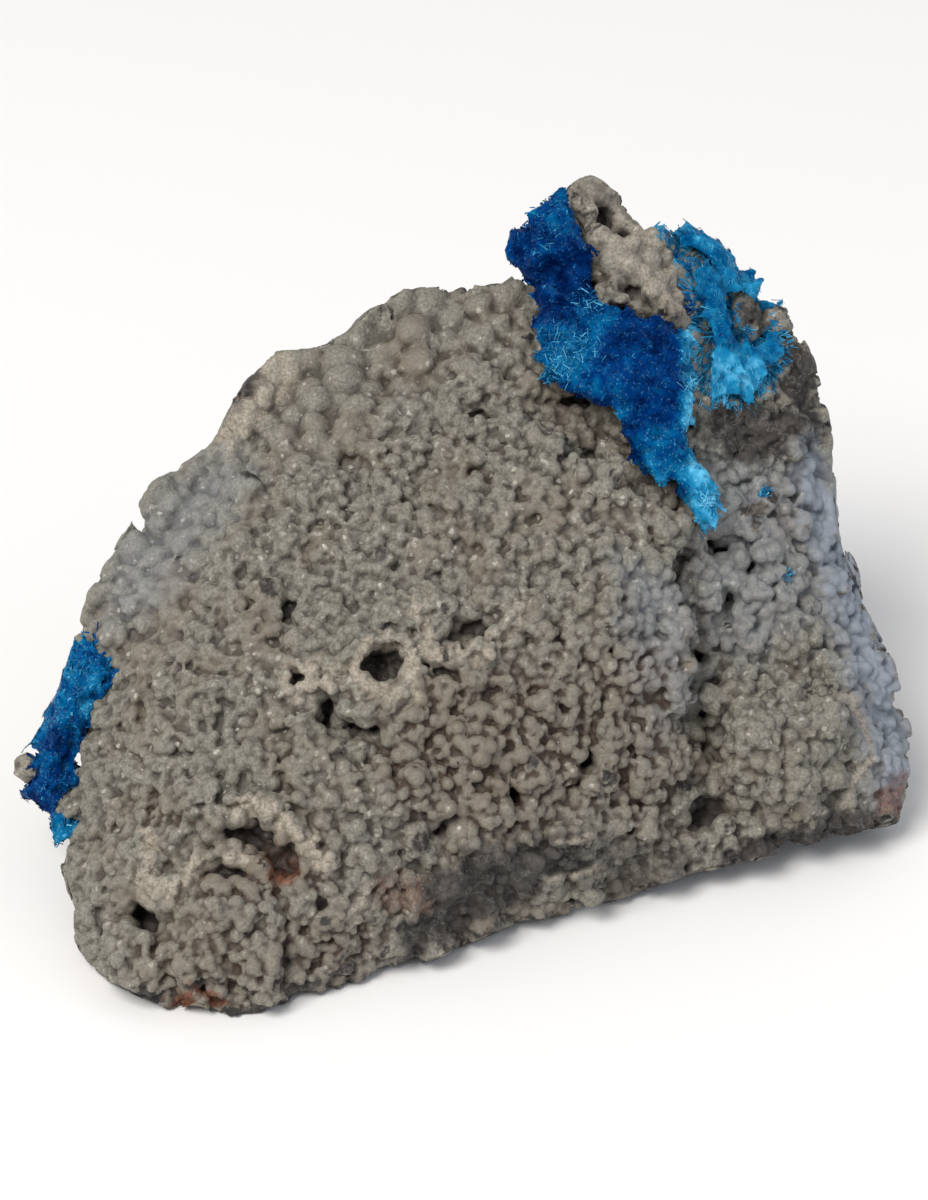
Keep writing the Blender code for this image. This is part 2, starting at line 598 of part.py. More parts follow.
def build_left(block, knob, finish):
    """The band of cavansite on the left edge."""
    bm = bmesh.new()
    for corners in LEFT_BAND:
        add_hull(bm, [seen(*p) for p in corners])
    band = add_object("cavansite_left", bm, finish)
    grow_crystals(band, [block, knob], LEFT_TRIANGLES, seen(*LEFT_HEART))
    return band


def build_knob():
    """The small ball of crust at the tip of the left band."""
    bm = bmesh.new()
    add_lobe(bm, seen(*LEFT_KNOB), LEFT_KNOB_RADIUS, LEFT_KNOB_FLATNESS, subdivisions=1)
    return add_object("crust_knob", bm, material("pale grey crust", PALE_CRUST_COLOUR, CRUST_ROUGHNESS))


def main():
    """Builds the specimen in an empty scene."""
    for obj in list(bpy.data.objects):
        bpy.data.objects.remove(obj)
    block = build_matrix()
    blue = material("cavansite", CAVANSITE_COLOUR, CAVANSITE_ROUGHNESS)
    build_crest(block, blue)
    build_flank(block, blue)
    build_left(block, build_knob(), blue)


main()
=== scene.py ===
"""Looks of a cavansite specimen: a block of basalt under a knobbly grey crust, with clusters of blue blades.

Sizes are in millimetres and become metres where a mesh is made. Places on the display side are given as they
are seen in a frame of 928 by 1200 pixels, and are found on the block by a line of sight from the eye.
"""

from __future__ import annotations

import itertools
import json
import logging
import math
from dataclasses import dataclass
from enum import Enum
from typing import Callable

import bmesh
import bpy
import numpy as np
from mathutils import Matrix, Vector
from mathutils.bvhtree import BVHTree
from mathutils.kdtree import KDTree

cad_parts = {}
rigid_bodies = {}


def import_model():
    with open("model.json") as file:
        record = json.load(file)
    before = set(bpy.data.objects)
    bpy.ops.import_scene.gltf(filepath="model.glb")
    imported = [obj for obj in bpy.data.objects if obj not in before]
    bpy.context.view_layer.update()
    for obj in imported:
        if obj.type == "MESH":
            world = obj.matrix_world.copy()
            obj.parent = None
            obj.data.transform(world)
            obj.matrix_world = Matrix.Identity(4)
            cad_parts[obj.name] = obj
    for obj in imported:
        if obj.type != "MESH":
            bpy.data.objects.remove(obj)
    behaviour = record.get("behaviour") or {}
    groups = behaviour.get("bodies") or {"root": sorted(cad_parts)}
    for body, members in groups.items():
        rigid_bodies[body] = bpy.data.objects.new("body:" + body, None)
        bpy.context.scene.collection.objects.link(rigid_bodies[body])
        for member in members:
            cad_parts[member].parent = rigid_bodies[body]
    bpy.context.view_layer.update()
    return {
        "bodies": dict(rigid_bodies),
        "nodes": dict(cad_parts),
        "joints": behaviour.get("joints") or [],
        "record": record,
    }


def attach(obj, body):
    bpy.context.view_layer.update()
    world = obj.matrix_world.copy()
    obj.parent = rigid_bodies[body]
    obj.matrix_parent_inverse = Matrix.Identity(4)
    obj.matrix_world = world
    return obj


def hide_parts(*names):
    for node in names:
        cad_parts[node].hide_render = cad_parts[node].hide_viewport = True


LOG = logging.getLogger("cavansite_specimen")
MM = 0.001
BODY = "root"

Pixels = list[tuple[float, float]]
PitFrames = list[tuple[np.ndarray, np.ndarray]]


# Shared tools: where things are seen, smooth randomness, meshes and nodes


@dataclass(frozen=True)
class Display:
    """Where the specimen is looked at from, and how a place on it relates to a place in the frame."""

    tilt: float = math.radians(30.0)
    distance: float = 420.0
    target: tuple[float, float, float] = (0.0, -8.0, 32.0)
    frame: tuple[int, int] = (928, 1200)
    pixel: float = 0.1

    @property
    def to_eye(self) -> np.ndarray:
        """The direction from the specimen to the eye."""
        return np.array([0.0, -math.cos(self.tilt), math.sin(self.tilt)])

    @property
    def lean(self) -> np.ndarray:
        """The direction that is up in the frame."""
        return np.array([0.0, math.sin(self.tilt), math.cos(self.tilt)])

    @property
    def eye(self) -> np.ndarray:
        """Where the eye is."""
        return np.array(self.target) + self.to_eye * self.distance

    def seen_at(self, places: np.ndarray) -> np.ndarray:
        """Where places on the specimen are seen.

        Args:
            places: one row of three coordinates for each place.

        Returns:
            One row of two pixel coordinates for each place.
        """
        offset = places - np.array(self.target)
        scale = self.distance / ((self.eye - places) @ self.to_eye) / self.pixel
        across = self.frame[0] / 2 + offset[:, 0] * scale
        down = self.frame[1] / 2 - (offset @ self.lean) * scale
        return np.stack([across, down], axis=1)

    def sight(self, across: float, down: float) -> tuple[Vector, Vector]:
        """The line of sight through a pixel.

        Args:
            across: pixels from the left edge of the frame.
            down: pixels from its top edge.

        Returns:
            The eye's place and the direction of sight.
        """
        aside = (across - self.frame[0] / 2) * self.pixel
        rise = (self.frame[1] / 2 - down) * self.pixel
        through = np.array(self.target) + np.array([aside, 0.0, 0.0]) + self.lean * rise
        return Vector(self.eye), Vector(through - self.eye).normalized()

    def on_surface(self, tree: BVHTree, across: float, down: float) -> tuple[Vector, Vector]:
        """The place on a surface that is seen at a pixel, or that the line of sight passes closest to.

        Args:
            tree: the surface.
            across: pixels from the left edge of the frame.
            down: pixels from its top edge.

        Returns:
            The place and the surface's direction there.
        """
        eye, direction = self.sight(across, down)
        place, normal, _, _ = tree.ray_cast(eye, direction)
        if place is None:
            place, normal, _, _ = tree.find_nearest(eye + direction * (self.distance + 16.0))
        return place, normal


DISPLAY = Display()


def smooth_step(low: float, high: float, value: np.ndarray) -> np.ndarray:
    """Rise smoothly from 0 at low to 1 at high."""
    share = np.clip((value - low) / (high - low), 0.0, 1.0)
    return share * share * (3 - 2 * share)


def lattice_values(cells: np.ndarray, seed: int) -> np.ndarray:
    """A fixed random value from -1 to 1 for each cell of a lattice."""
    mixed = cells[:, 0] * 73856093 ^ cells[:, 1] * 19349663 ^ cells[:, 2] * 83492791 ^ seed * 2654435761
    mixed = (mixed ^ (mixed >> 13)) * 1274126177 & 0xFFFFFFFF
    mixed = (mixed ^ (mixed >> 15)) * 2246822519 & 0xFFFFFFFF
    return ((mixed ^ (mixed >> 16)) & 0xFFFF) / 32767.5 - 1


def soft_noise(places: np.ndarray, size: float, seed: int) -> np.ndarray:
    """Smooth random values from -1 to 1.

    Args:
        places: one row of three coordinates for each place.
        size: how far apart the highs and lows are.
        seed: picks one pattern of many.

    Returns:
        One value for each place.
    """
    scaled = places / size + seed * 0.37
    base = np.floor(scaled).astype(np.int64)
    share = scaled - base
    share = share * share * (3 - 2 * share)
    total = np.zeros(len(places))
    for corner in itertools.product((0, 1), repeat=3):
        near = np.where(np.array(corner) == 1, share, 1 - share)
        total += near.prod(axis=1) * lattice_values(base + np.array(corner), seed)
    return total


def facet_noise(places: np.ndarray, size: float, seed: int) -> np.ndarray:
    """Random values that are each the same over one chip-shaped cell.

    Args:
        places: one row of three coordinates for each place.
        size: how wide the cells are.
        seed: picks one pattern of many.

    Returns:
        One value from -1 to 1 for each place, that of the cell whose middle is closest.
    """
    scaled = places / size
    base = np.floor(scaled).astype(np.int64)
    closest = np.full(len(places), np.inf)
    value = np.zeros(len(places))
    for step in itertools.product((-1, 0, 1), repeat=3):
        cells = base + np.array(step)
        middle = np.stack([lattice_values(cells, seed + axis) for axis in (1, 2, 3)], axis=1) * 0.5 + 0.5
        distance = np.linalg.norm(cells + middle - scaled, axis=1)
        nearer = distance < closest
        closest = np.where(nearer, distance, closest)
        value = np.where(nearer, lattice_values(cells, seed), value)
    return value


def nearness(seen: np.ndarray, across: float, down: float, reach: float) -> np.ndarray:
    """How much each seen place belongs to a soft round spot: 1 at its middle, little beyond its reach."""
    return np.exp(-(((seen[:, 0] - across) ** 2 + (seen[:, 1] - down) ** 2) / reach**2))


def nearest_on_line(points: np.ndarray, line: Pixels) -> np.ndarray:
    """The place on a line of straight stretches that is nearest to each point in the frame."""
    closest = np.full(len(points), np.inf)
    nearest = points.copy()
    for start, end in zip(line, line[1:]):
        start = np.array(start, float)
        along = np.array(end, float) - start
        share = np.clip(((points - start) @ along) / max(along @ along, 1e-9), 0.0, 1.0)
        spots = start + share[:, None] * along
        distance = np.linalg.norm(points - spots, axis=1)
        nearer = distance < closest
        closest = np.where(nearer, distance, closest)
        nearest = np.where(nearer[:, None], spots, nearest)
    return nearest


def distance_to_line(points: np.ndarray, line: Pixels) -> np.ndarray:
    """How far each point in the frame is from a line of straight stretches."""
    return np.linalg.norm(points - nearest_on_line(points, line), axis=1)


def depth_inside(points: np.ndarray, outline: Pixels) -> np.ndarray:
    """How far each point in the frame is inside a closed outline, and negative outside it."""
    closed = outline + outline[:1]
    inside = np.zeros(len(points), bool)
    for (x0, y0), (x1, y1) in zip(closed, closed[1:]):
        spans = (y0 > points[:, 1]) != (y1 > points[:, 1])
        crossing = x0 + (points[:, 1] - y0) * (x1 - x0) / (y1 - y0 if y1 != y0 else 1e-9)
        inside ^= spans & (points[:, 0] < crossing)
    distance = distance_to_line(points, closed)
    return np.where(inside, distance, -distance)


def held_inside(corners: np.ndarray, outline: Pixels, give: float = 0.2) -> np.ndarray:
    """Draw in what is seen outside an outline, all but a small share of how far it stands out."""
    seen = DISPLAY.seen_at(corners)
    outside = depth_inside(seen, outline) < 0
    moved = corners.copy()
    drawn = nearest_on_line(seen[outside], outline + outline[:1]) - seen[outside]
    shift = drawn * (1 - give) * DISPLAY.pixel
    moved[outside] += shift[:, :1] * np.array([1.0, 0.0, 0.0]) - shift[:, 1:] * DISPLAY.lean
    return moved


def ring(middle: tuple[float, float], reach: tuple[float, float], steps: int = 12) -> Pixels:
    """A closed oval line in the frame, from its middle and its two reaches."""
    turns = [math.tau * step / steps for step in range(steps + 1)]
    return [(middle[0] + reach[0] * math.cos(turn), middle[1] + reach[1] * math.sin(turn)) for turn in turns]


@dataclass
class Shape:
    """A mesh as arrays: corners in millimetres and triangles."""

    corners: np.ndarray
    faces: np.ndarray

    @classmethod
    def of_object(cls, obj: bpy.types.Object) -> Shape:
        """Read an object's mesh."""
        mesh = obj.data
        corners = np.empty(len(mesh.vertices) * 3, np.float32)
        mesh.vertices.foreach_get("co", corners)
        mesh.calc_loop_triangles()
        faces = np.empty(len(mesh.loop_triangles) * 3, np.int32)
        mesh.loop_triangles.foreach_get("vertices", faces)
        return cls(corners.reshape(-1, 3).astype(float) / MM, faces.reshape(-1, 3))

    @classmethod
    def of_bmesh(cls, bm: bmesh.types.BMesh) -> Shape:
        """Read a mesh under construction, whose sizes are in millimetres, and free it."""
        bmesh.ops.triangulate(bm, faces=bm.faces)
        bm.verts.index_update()
        corners = np.array([vert.co for vert in bm.verts])
        faces = np.array([[vert.index for vert in face.verts] for face in bm.faces])
        bm.free()
        return cls(corners, faces)

    def tree(self) -> BVHTree:
        """The surface, ready to be searched."""
        return BVHTree.FromPolygons(self.corners.tolist(), self.faces.tolist())

    def copies(self, turns: np.ndarray, places: np.ndarray) -> Shape:
        """Many copies of this shape joined in one.

        Args:
            turns: one matrix of three by three for each copy, which turns and scales it.
            places: where each copy goes.

        Returns:
            The joined shape, copy after copy.
        """
        corners = np.einsum("nij,vj->nvi", turns, self.corners) + places[:, None, :]
        offsets = (np.arange(len(places)) * len(self.corners))[:, None, None]
        return Shape(corners.reshape(-1, 3), (self.faces[None] + offsets).reshape(-1, 3))

    @classmethod
    def joined(cls, shapes: list[Shape]) -> Shape:
        """Several shapes as one, with nothing merged."""
        offsets = np.cumsum([0] + [len(shape.corners) for shape in shapes[:-1]])
        faces = [shape.faces + offset for shape, offset in zip(shapes, offsets)]
        return cls(np.concatenate([shape.corners for shape in shapes]), np.concatenate(faces))

    def to_object(self, name: str) -> bpy.types.Object:
        """Make an object of this shape, with its place in its mesh."""
        mesh = bpy.data.meshes.new(name)
        mesh.vertices.add(len(self.corners))
        mesh.vertices.foreach_set("co", (self.corners * MM).astype(np.float32).ravel())
        mesh.loops.add(len(self.faces) * 3)
        mesh.loops.foreach_set("vertex_index", self.faces.astype(np.int32).ravel())
        mesh.polygons.add(len(self.faces))
        mesh.polygons.foreach_set("loop_start", np.arange(0, len(self.faces) * 3, 3, dtype=np.int32))
        mesh.update(calc_edges=True)
        obj = bpy.data.objects.new(name, mesh)
        bpy.context.scene.collection.objects.link(obj)
        return obj


def normals_of(obj: bpy.types.Object) -> np.ndarray:
    """The direction that the surface faces at each vertex."""
    normals = np.empty(len(obj.data.vertices) * 3, np.float32)
    obj.data.vertices.foreach_get("normal", normals)
    return normals.reshape(-1, 3).astype(float)


def move_corners(obj: bpy.types.Object, corners: np.ndarray) -> None:
    """Give an object's vertices new places, in millimetres."""
    obj.data.vertices.foreach_set("co", (corners * MM).astype(np.float32).ravel())
    obj.data.update()


def with_modifier(obj: bpy.types.Object, kind: str, settings: dict[str, object]) -> None:
    """Apply one modifier to an object's mesh.

    Args:
        obj: the object, whose mesh is replaced by the result.
        kind: the modifier's type.
        settings: its properties by name.
    """
    modifier = obj.modifiers.new(kind.title(), kind)
    for name, value in settings.items():
        setattr(modifier, name, value)
    bpy.context.view_layer.update()
    evaluated = obj.evaluated_get(bpy.context.evaluated_depsgraph_get())
    old = obj.data
    obj.data = bpy.data.meshes.new_from_object(evaluated)
    obj.data.name = old.name
    obj.modifiers.clear()
    bpy.data.meshes.remove(old)


def fuse(obj: bpy.types.Object, voxel: float) -> None:
    """Turn overlapping closed shapes into one closed skin, with faces about as wide as the voxel."""
    with_modifier(obj, "REMESH", {"mode": "VOXEL", "voxel_size": voxel * MM})


def soften(obj: bpy.types.Object, rounds: int) -> None:
    """Smooth an object's mesh a number of times."""
    with_modifier(obj, "SMOOTH", {"factor": 0.5, "iterations": rounds})


def thin_out(obj: bpy.types.Object, triangles: int) -> None:
    """Collapse an object's mesh until it has no more than this many triangles."""
    count = len(Shape.of_object(obj).faces)
    if count > triangles:
        with_modifier(obj, "DECIMATE", {"ratio": triangles / count, "use_collapse_triangulate": True})


def solid_of(frame: dict, node: str, name: str) -> bpy.types.Object:
    """A merged copy of a node of the frame, as a new object."""
    bm = bmesh.new()
    bm.from_mesh(frame["nodes"][node].data)
    bmesh.ops.remove_doubles(bm, verts=bm.verts, dist=0.0001 * MM)
    mesh = bpy.data.meshes.new(name)
    bm.to_mesh(mesh)
    bm.free()
    obj = bpy.data.objects.new(name, mesh)
    bpy.context.scene.collection.objects.link(obj)
    return obj


def paint(obj: bpy.types.Object, name: str, values: np.ndarray) -> None:
    """Keep a number for each vertex, for a material to read."""
    layer = obj.data.attributes.new(name, "FLOAT", "POINT")
    layer.data.foreach_set("value", values.astype(np.float32))


def hollow_of(obj: bpy.types.Object, rounds: int) -> np.ndarray:
    """How far each vertex lies below the surface around it, in millimetres, and negative above it.

    Args:
        obj: the object.
        rounds: how often the surface around is evened out.

    Returns:
        One depth for each vertex.
    """
    corners = Shape.of_object(obj).corners
    edges = np.empty(len(obj.data.edges) * 2, np.int32)
    obj.data.edges.foreach_get("vertices", edges)
    ends = np.concatenate([edges.reshape(-1, 2), edges.reshape(-1, 2)[:, ::-1]])
    count = np.maximum(np.bincount(ends[:, 0], minlength=len(corners)), 1)
    even = corners.copy()
    for _ in range(rounds):
        sums = [np.bincount(ends[:, 0], even[ends[:, 1], axis], len(corners)) for axis in range(3)]
        even = np.stack(sums, axis=1) / count[:, None]
    return ((even - corners) * normals_of(obj)).sum(axis=1)


def finish_piece(
    obj: bpy.types.Object, look: bpy.types.Material, nodes: list[str], smooth: bool
) -> None:
    """Dress a piece, fix it to the frame and report it.

    Args:
        obj: the piece.
        look: its material.
        nodes: the nodes of the frame that it stands for.
        smooth: whether it is shaded smooth.
    """
    obj.data.materials.clear()
    obj.data.materials.append(look)
    obj.data.polygons.foreach_set("use_smooth", [smooth] * len(obj.data.polygons))
    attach(obj, BODY)
    if nodes:
        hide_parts(*nodes)
    LOG.info("%s: %d faces", obj.name, len(obj.data.polygons))


def scatter(
    shape: Shape,
    spacing_at: Callable[[np.ndarray, np.ndarray], np.ndarray],
    tries: int,
    rng: np.random.Generator,
) -> tuple[np.ndarray, np.ndarray, np.ndarray]:
    """Throw points on a surface and keep those that have room.

    Args:
        shape: the surface.
        spacing_at: gives the room that a point needs from its place and direction, and 0 where none goes.
        tries: how many points are thrown.
        rng: the source of chance.

    Returns:
        The places kept, the directions of the surface there and the room each one has.
    """
    a, b, c = (shape.corners[shape.faces[:, corner]] for corner in range(3))
    cross = np.cross(b - a, c - a)
    area = np.linalg.norm(cross, axis=1)
    picks = rng.choice(len(area), size=tries, p=area / area.sum())
    u, v = rng.random((2, tries))
    u, v = np.where(u + v > 1, 1 - u, u), np.where(u + v > 1, 1 - v, v)
    places = a[picks] + (b - a)[picks] * u[:, None] + (c - a)[picks] * v[:, None]
    normals = cross[picks] / np.maximum(area[picks], 1e-12)[:, None]
    rooms = spacing_at(places, normals)
    cell = max(float(rooms.max()), 0.1)
    taken: dict[tuple[int, int, int], list[int]] = {}
    kept: list[int] = []
    steps = list(itertools.product((-1, 0, 1), repeat=3))
    cells = np.floor(places / cell).astype(int)
    for index in np.flatnonzero(rooms > 0):
        x, y, z = cells[index]
        close = [other for dx, dy, dz in steps for other in taken.get((x + dx, y + dy, z + dz), ())]
        if close:
            gaps = np.linalg.norm(places[close] - places[index], axis=1)
            if (gaps < (rooms[close] + rooms[index]) / 2).any():
                continue
        taken.setdefault((x, y, z), []).append(index)
        kept.append(index)
    return places[kept], normals[kept], rooms[kept]


def random_turns(count: int, rng: np.random.Generator) -> np.ndarray:
    """Random turns in space, one matrix of three by three each."""
    quads = rng.normal(size=(count, 4))
    w, x, y, z = (quads / np.linalg.norm(quads, axis=1)[:, None]).T
    rows = [
        [1 - 2 * (y * y + z * z), 2 * (x * y - z * w), 2 * (x * z + y * w)],
        [2 * (x * y + z * w), 1 - 2 * (x * x + z * z), 2 * (y * z - x * w)],
        [2 * (x * z - y * w), 2 * (y * z + x * w), 1 - 2 * (x * x + y * y)],
    ]
    return np.array(rows).transpose(2, 0, 1)


def unit(rows: np.ndarray) -> np.ndarray:
    """The rows, each made one long."""
    return rows / np.maximum(np.linalg.norm(rows, axis=1), 1e-9)[:, None]


def linear(colour: str, alpha: float = 1.0) -> tuple[float, float, float, float]:
    """Turn an sRGB hex colour to linear light."""
    parts = [int(colour[start : start + 2], 16) / 255 for start in (1, 3, 5)]
    light = [part / 12.92 if part <= 0.04045 else ((part + 0.055) / 1.055) ** 2.4 for part in parts]
    return (*light, alpha)


def per_metre(size: float) -> float:
    """The scale of a pattern whose features are this many millimetres wide."""
    return 1 / (size * MM)


def add_node(
    tree: bpy.types.NodeTree,
    kind: str,
    settings: dict[str | int, object] | None = None,
    links: dict[str | int, bpy.types.NodeSocket] | None = None,
) -> bpy.types.Node:
    """Add a node to a material.

    Args:
        tree: the material's nodes.
        kind: the node's type, without its prefix.
        settings: its properties and input values by name or number, and a colour ramp's stops as "stops".
        links: what goes into its inputs.

    Returns:
        The node.
    """
    node = tree.nodes.new("ShaderNode" + kind)
    for name, value in (settings or {}).items():
        if name == "stops":
            ramp = node.color_ramp
            while len(ramp.elements) < len(value):
                ramp.elements.new(1.0)
            for element, (position, colour) in zip(ramp.elements, value):
                element.position = position
                element.color = linear(colour)
        elif isinstance(name, str) and name.islower():
            setattr(node, name, value)
        else:
            node.inputs[name].default_value = value
    for name, source in (links or {}).items():
        tree.links.new(source, node.inputs[name])
    return node


def new_material(
    name: str,
) -> tuple[bpy.types.Material, bpy.types.NodeTree, bpy.types.Node, bpy.types.NodeSocket]:
    """Start a material.

    Args:
        name: its name.

    Returns:
        The material, its nodes, its shader and the place on the piece that patterns read.
    """
    look = bpy.data.materials.new(name)
    look.use_nodes = True
    tree = look.node_tree
    shader = next(node for node in tree.nodes if node.type == "BSDF_PRINCIPLED")
    place = add_node(tree, "TexCoord").outputs["Object"]
    return look, tree, shader, place


# Finishes


@dataclass(frozen=True)
class CrustFinish:
    """Zeolite crust on basalt: tiny crystal faces on round lumps, matt from afar with single glints, from
    glossier cells and from pale painted glints in the colour.
    """

    name: str = "zeolite_crust_on_basalt"
    # Painted shade: the dark colour laid in the crevices between the lumps
    hollow: str = "#37312a"
    low: str = "#6a675e"
    high: str = "#88857a"
    warm: str = "#756b5e"
    # Painted cool light: the bluish grey laid over the crust where bluish light is painted on, mostly the
    # right flank
    cool: str = "#858d98"
    # Painted glints: a pale colour given to a few crystal cells, as if they caught the light
    painted_glint: str = "#c9c5b9"
    basalt: tuple[str, str, str] = ("#191718", "#322e2b", "#5a544e")
    vein: str = "#86817a"
    cream: tuple[str, str] = ("#857c70", "#aba294")
    rust: tuple[str, str] = ("#472a1c", "#7c4a34")
    # A brown stain's colour, laid only in the crevices of the brown zones: a real stain darkened by painted
    # shade
    umber: str = "#42352b"
    # The pits' colour: dark rock inside the holes, laid on more strongly deeper in as painted shade
    pit: str = "#2a2421"
    grain: float = 0.32
    patch: float = 7.0
    glint: float = 0.4

    def build(self) -> bpy.types.Material:
        """Make the material, which reads where each kind of surface is from the piece's own numbers, and
        where painted shade and painted cool light go.
        """
        look, tree, shader, place = new_material(self.name)
        read = {name: self._layer(tree, name) for name in LAYERS}
        grain = add_node(
            tree,
            "TexNoise",
            {"Scale": per_metre(self.grain), "Detail": 3.0, "Roughness": 0.6},
            {"Vector": place},
        ).outputs["Fac"]
        cloud = add_node(
            tree,
            "TexNoise",
            {"Scale": per_metre(self.patch), "Detail": 4.0, "Roughness": 0.55},
            {"Vector": place},
        ).outputs["Fac"]
        crust = self._crust(tree, read["hollow"], grain, cloud)
        cells = add_node(tree, "TexVoronoi", {"Scale": per_metre(self.glint)}, {"Vector": place})
        tone = add_node(tree, "RGBToBW", None, {"Color": cells.outputs["Color"]}).outputs["Val"]
        colour = self._over(tree, crust, self.warm, self._stretch(tree, cloud, 0.5, 0.68, 0.7))
        # Painted glints: the palest few cells of the crystal pattern get a pale colour
        colour = self._over(tree, colour, self.painted_glint, self._stretch(tree, tone, 0.84, 0.94, 0.5))
        # Painted cool light: bluish grey laid over the crust by its share
        colour = self._over(tree, colour, self.cool, read[Stain.COOL.value])
        brown = self._stretch(tree, read[Stain.UMBER.value], 0.0, 1.0, 0.6)
        colour = self._over(tree, colour, self.warm, brown)
        # The brown stain goes darker in the crevices: painted shade over a real brown stain
        deep = self._times(tree, read[Stain.UMBER.value], read["hollow"], 1.9)
        colour = self._over(tree, colour, self.umber, deep)
        colour = self._over(tree, colour, self._basalt(tree, place, grain), read[Stain.BASALT.value])
        colour = self._over(tree, colour, self._two(tree, grain, self.rust), read[Stain.RUST.value])
        colour = self._over(tree, colour, self._two(tree, grain, self.cream), read[Stain.CREAM.value])
        # The pits' colour: dark rock in the holes, with painted shade deeper in
        colour = self._over(tree, colour, self.pit, read["pit"])
        tree.links.new(colour, shader.inputs["Base Color"])
        self._surface(tree, shader, grain, tone, read[Stain.BASALT.value])
        return look

    @staticmethod
    def _layer(tree: bpy.types.NodeTree, name: str) -> bpy.types.NodeSocket:
        """Read one of the piece's own numbers."""
        return add_node(tree, "Attribute", {"attribute_name": name}).outputs["Fac"]

    @staticmethod
    def _over(
        tree: bpy.types.NodeTree,
        under: bpy.types.NodeSocket,
        over: bpy.types.NodeSocket | str,
        share: bpy.types.NodeSocket,
    ) -> bpy.types.NodeSocket:
        """Lay a colour over another by a share."""
        if isinstance(over, str):
            mix = add_node(tree, "Mix", {"data_type": "RGBA", 7: linear(over)}, {0: share, 6: under})
        else:
            mix = add_node(tree, "Mix", {"data_type": "RGBA"}, {0: share, 6: under, 7: over})
        return mix.outputs[2]

    @staticmethod
    def _stretch(
        tree: bpy.types.NodeTree, value: bpy.types.NodeSocket, low: float, high: float, most: float
    ) -> bpy.types.NodeSocket:
        """Spread the values between low and high from 0 to most."""
        settings = {"From Min": low, "From Max": high, "To Min": 0.0, "To Max": most}
        return add_node(tree, "MapRange", settings, {"Value": value}).outputs["Result"]

    @staticmethod
    def _times(
        tree: bpy.types.NodeTree, first: bpy.types.NodeSocket, second: bpy.types.NodeSocket, gain: float
    ) -> bpy.types.NodeSocket:
        """Multiply two values and a gain, and keep the result within 0 and 1."""
        product = add_node(tree, "Math", {"operation": "MULTIPLY"}, {0: first, 1: second}).outputs[0]
        return add_node(
            tree, "Math", {"operation": "MULTIPLY", "use_clamp": True, 1: gain}, {0: product}
        ).outputs[0]

    @staticmethod
    def _two(
        tree: bpy.types.NodeTree, grain: bpy.types.NodeSocket, colours: tuple[str, str]
    ) -> bpy.types.NodeSocket:
        """Run from one colour to another with the grain."""
        stops = [(0.38, colours[0]), (0.62, colours[1])]
        return add_node(tree, "ValToRGB", {"stops": stops}, {"Fac": grain}).outputs["Color"]

    def _crust(
        self,
        tree: bpy.types.NodeTree,
        hollow: bpy.types.NodeSocket,
        grain: bpy.types.NodeSocket,
        cloud: bpy.types.NodeSocket,
    ) -> bpy.types.NodeSocket:
        """The crust: paler on the tops of the lumps and in single grains, and darker between the lumps, where
        painted shade is laid over it.
        """
        lumps = self._two(tree, grain, (self.low, self.high))
        # Painted shade in the crevices, patchy with the cloud
        shade = self._times(tree, hollow, cloud, 1.7)
        return self._over(tree, lumps, self.hollow, shade)

    def _basalt(
        self, tree: bpy.types.NodeTree, place: bpy.types.NodeSocket, grain: bpy.types.NodeSocket
    ) -> bpy.types.NodeSocket:
        """Basalt: near black to brown grey, with thin pale veins of zeolite."""
        mottle = add_node(
            tree, "TexNoise", {"Scale": per_metre(2.2), "Detail": 6.0, "Roughness": 0.7}, {"Vector": place}
        ).outputs["Fac"]
        stops = [(0.3, self.basalt[0]), (0.52, self.basalt[1]), (0.75, self.basalt[2])]
        stone = add_node(tree, "ValToRGB", {"stops": stops}, {"Fac": mottle}).outputs["Color"]
        wander = add_node(
            tree, "TexNoise", {"Scale": per_metre(5.0), "Detail": 5.0, "Roughness": 0.65}, {"Vector": place}
        ).outputs["Fac"]
        thin = [(0.478, "#000000"), (0.497, "#b0b0b0"), (0.516, "#000000")]
        veins = add_node(tree, "ValToRGB", {"stops": thin}, {"Fac": wander}).outputs["Color"]
        broken = self._times(tree, veins, grain, 1.5)
        return self._over(tree, stone, self.vein, broken)

    def _surface(
        self,
        tree: bpy.types.NodeTree,
        shader: bpy.types.Node,
        grain: bpy.types.NodeSocket,
        tone: bpy.types.NodeSocket,
        basalt: bpy.types.NodeSocket,
    ) -> None:
        """Roughness and relief: crystal faces too small to model, some of which catch the light."""
        stops = [(0.0, "#d8d8d8"), (0.72, "#d0d0d0"), (0.86, "#707070")]
        rough = add_node(tree, "ValToRGB", {"stops": stops}, {"Fac": tone}).outputs["Color"]
        dull = add_node(tree, "Mix", {"data_type": "RGBA", 7: linear("#dcdcdc")}, {0: basalt, 6: rough})
        tree.links.new(dull.outputs[2], shader.inputs["Roughness"])
        faces = add_node(tree, "Bump", {"Strength": 0.3, "Distance": 0.1 * MM}, {"Height": tone})
        relief = add_node(
            tree,
            "Bump",
            {"Strength": 1.0, "Distance": 0.13 * MM},
            {"Height": grain, "Normal": faces.outputs["Normal"]},
        )
        tree.links.new(relief.outputs["Normal"], shader.inputs["Normal"])
        shader.inputs["IOR"].default_value = 1.5
        shader.inputs["Specular IOR Level"].default_value = 0.5


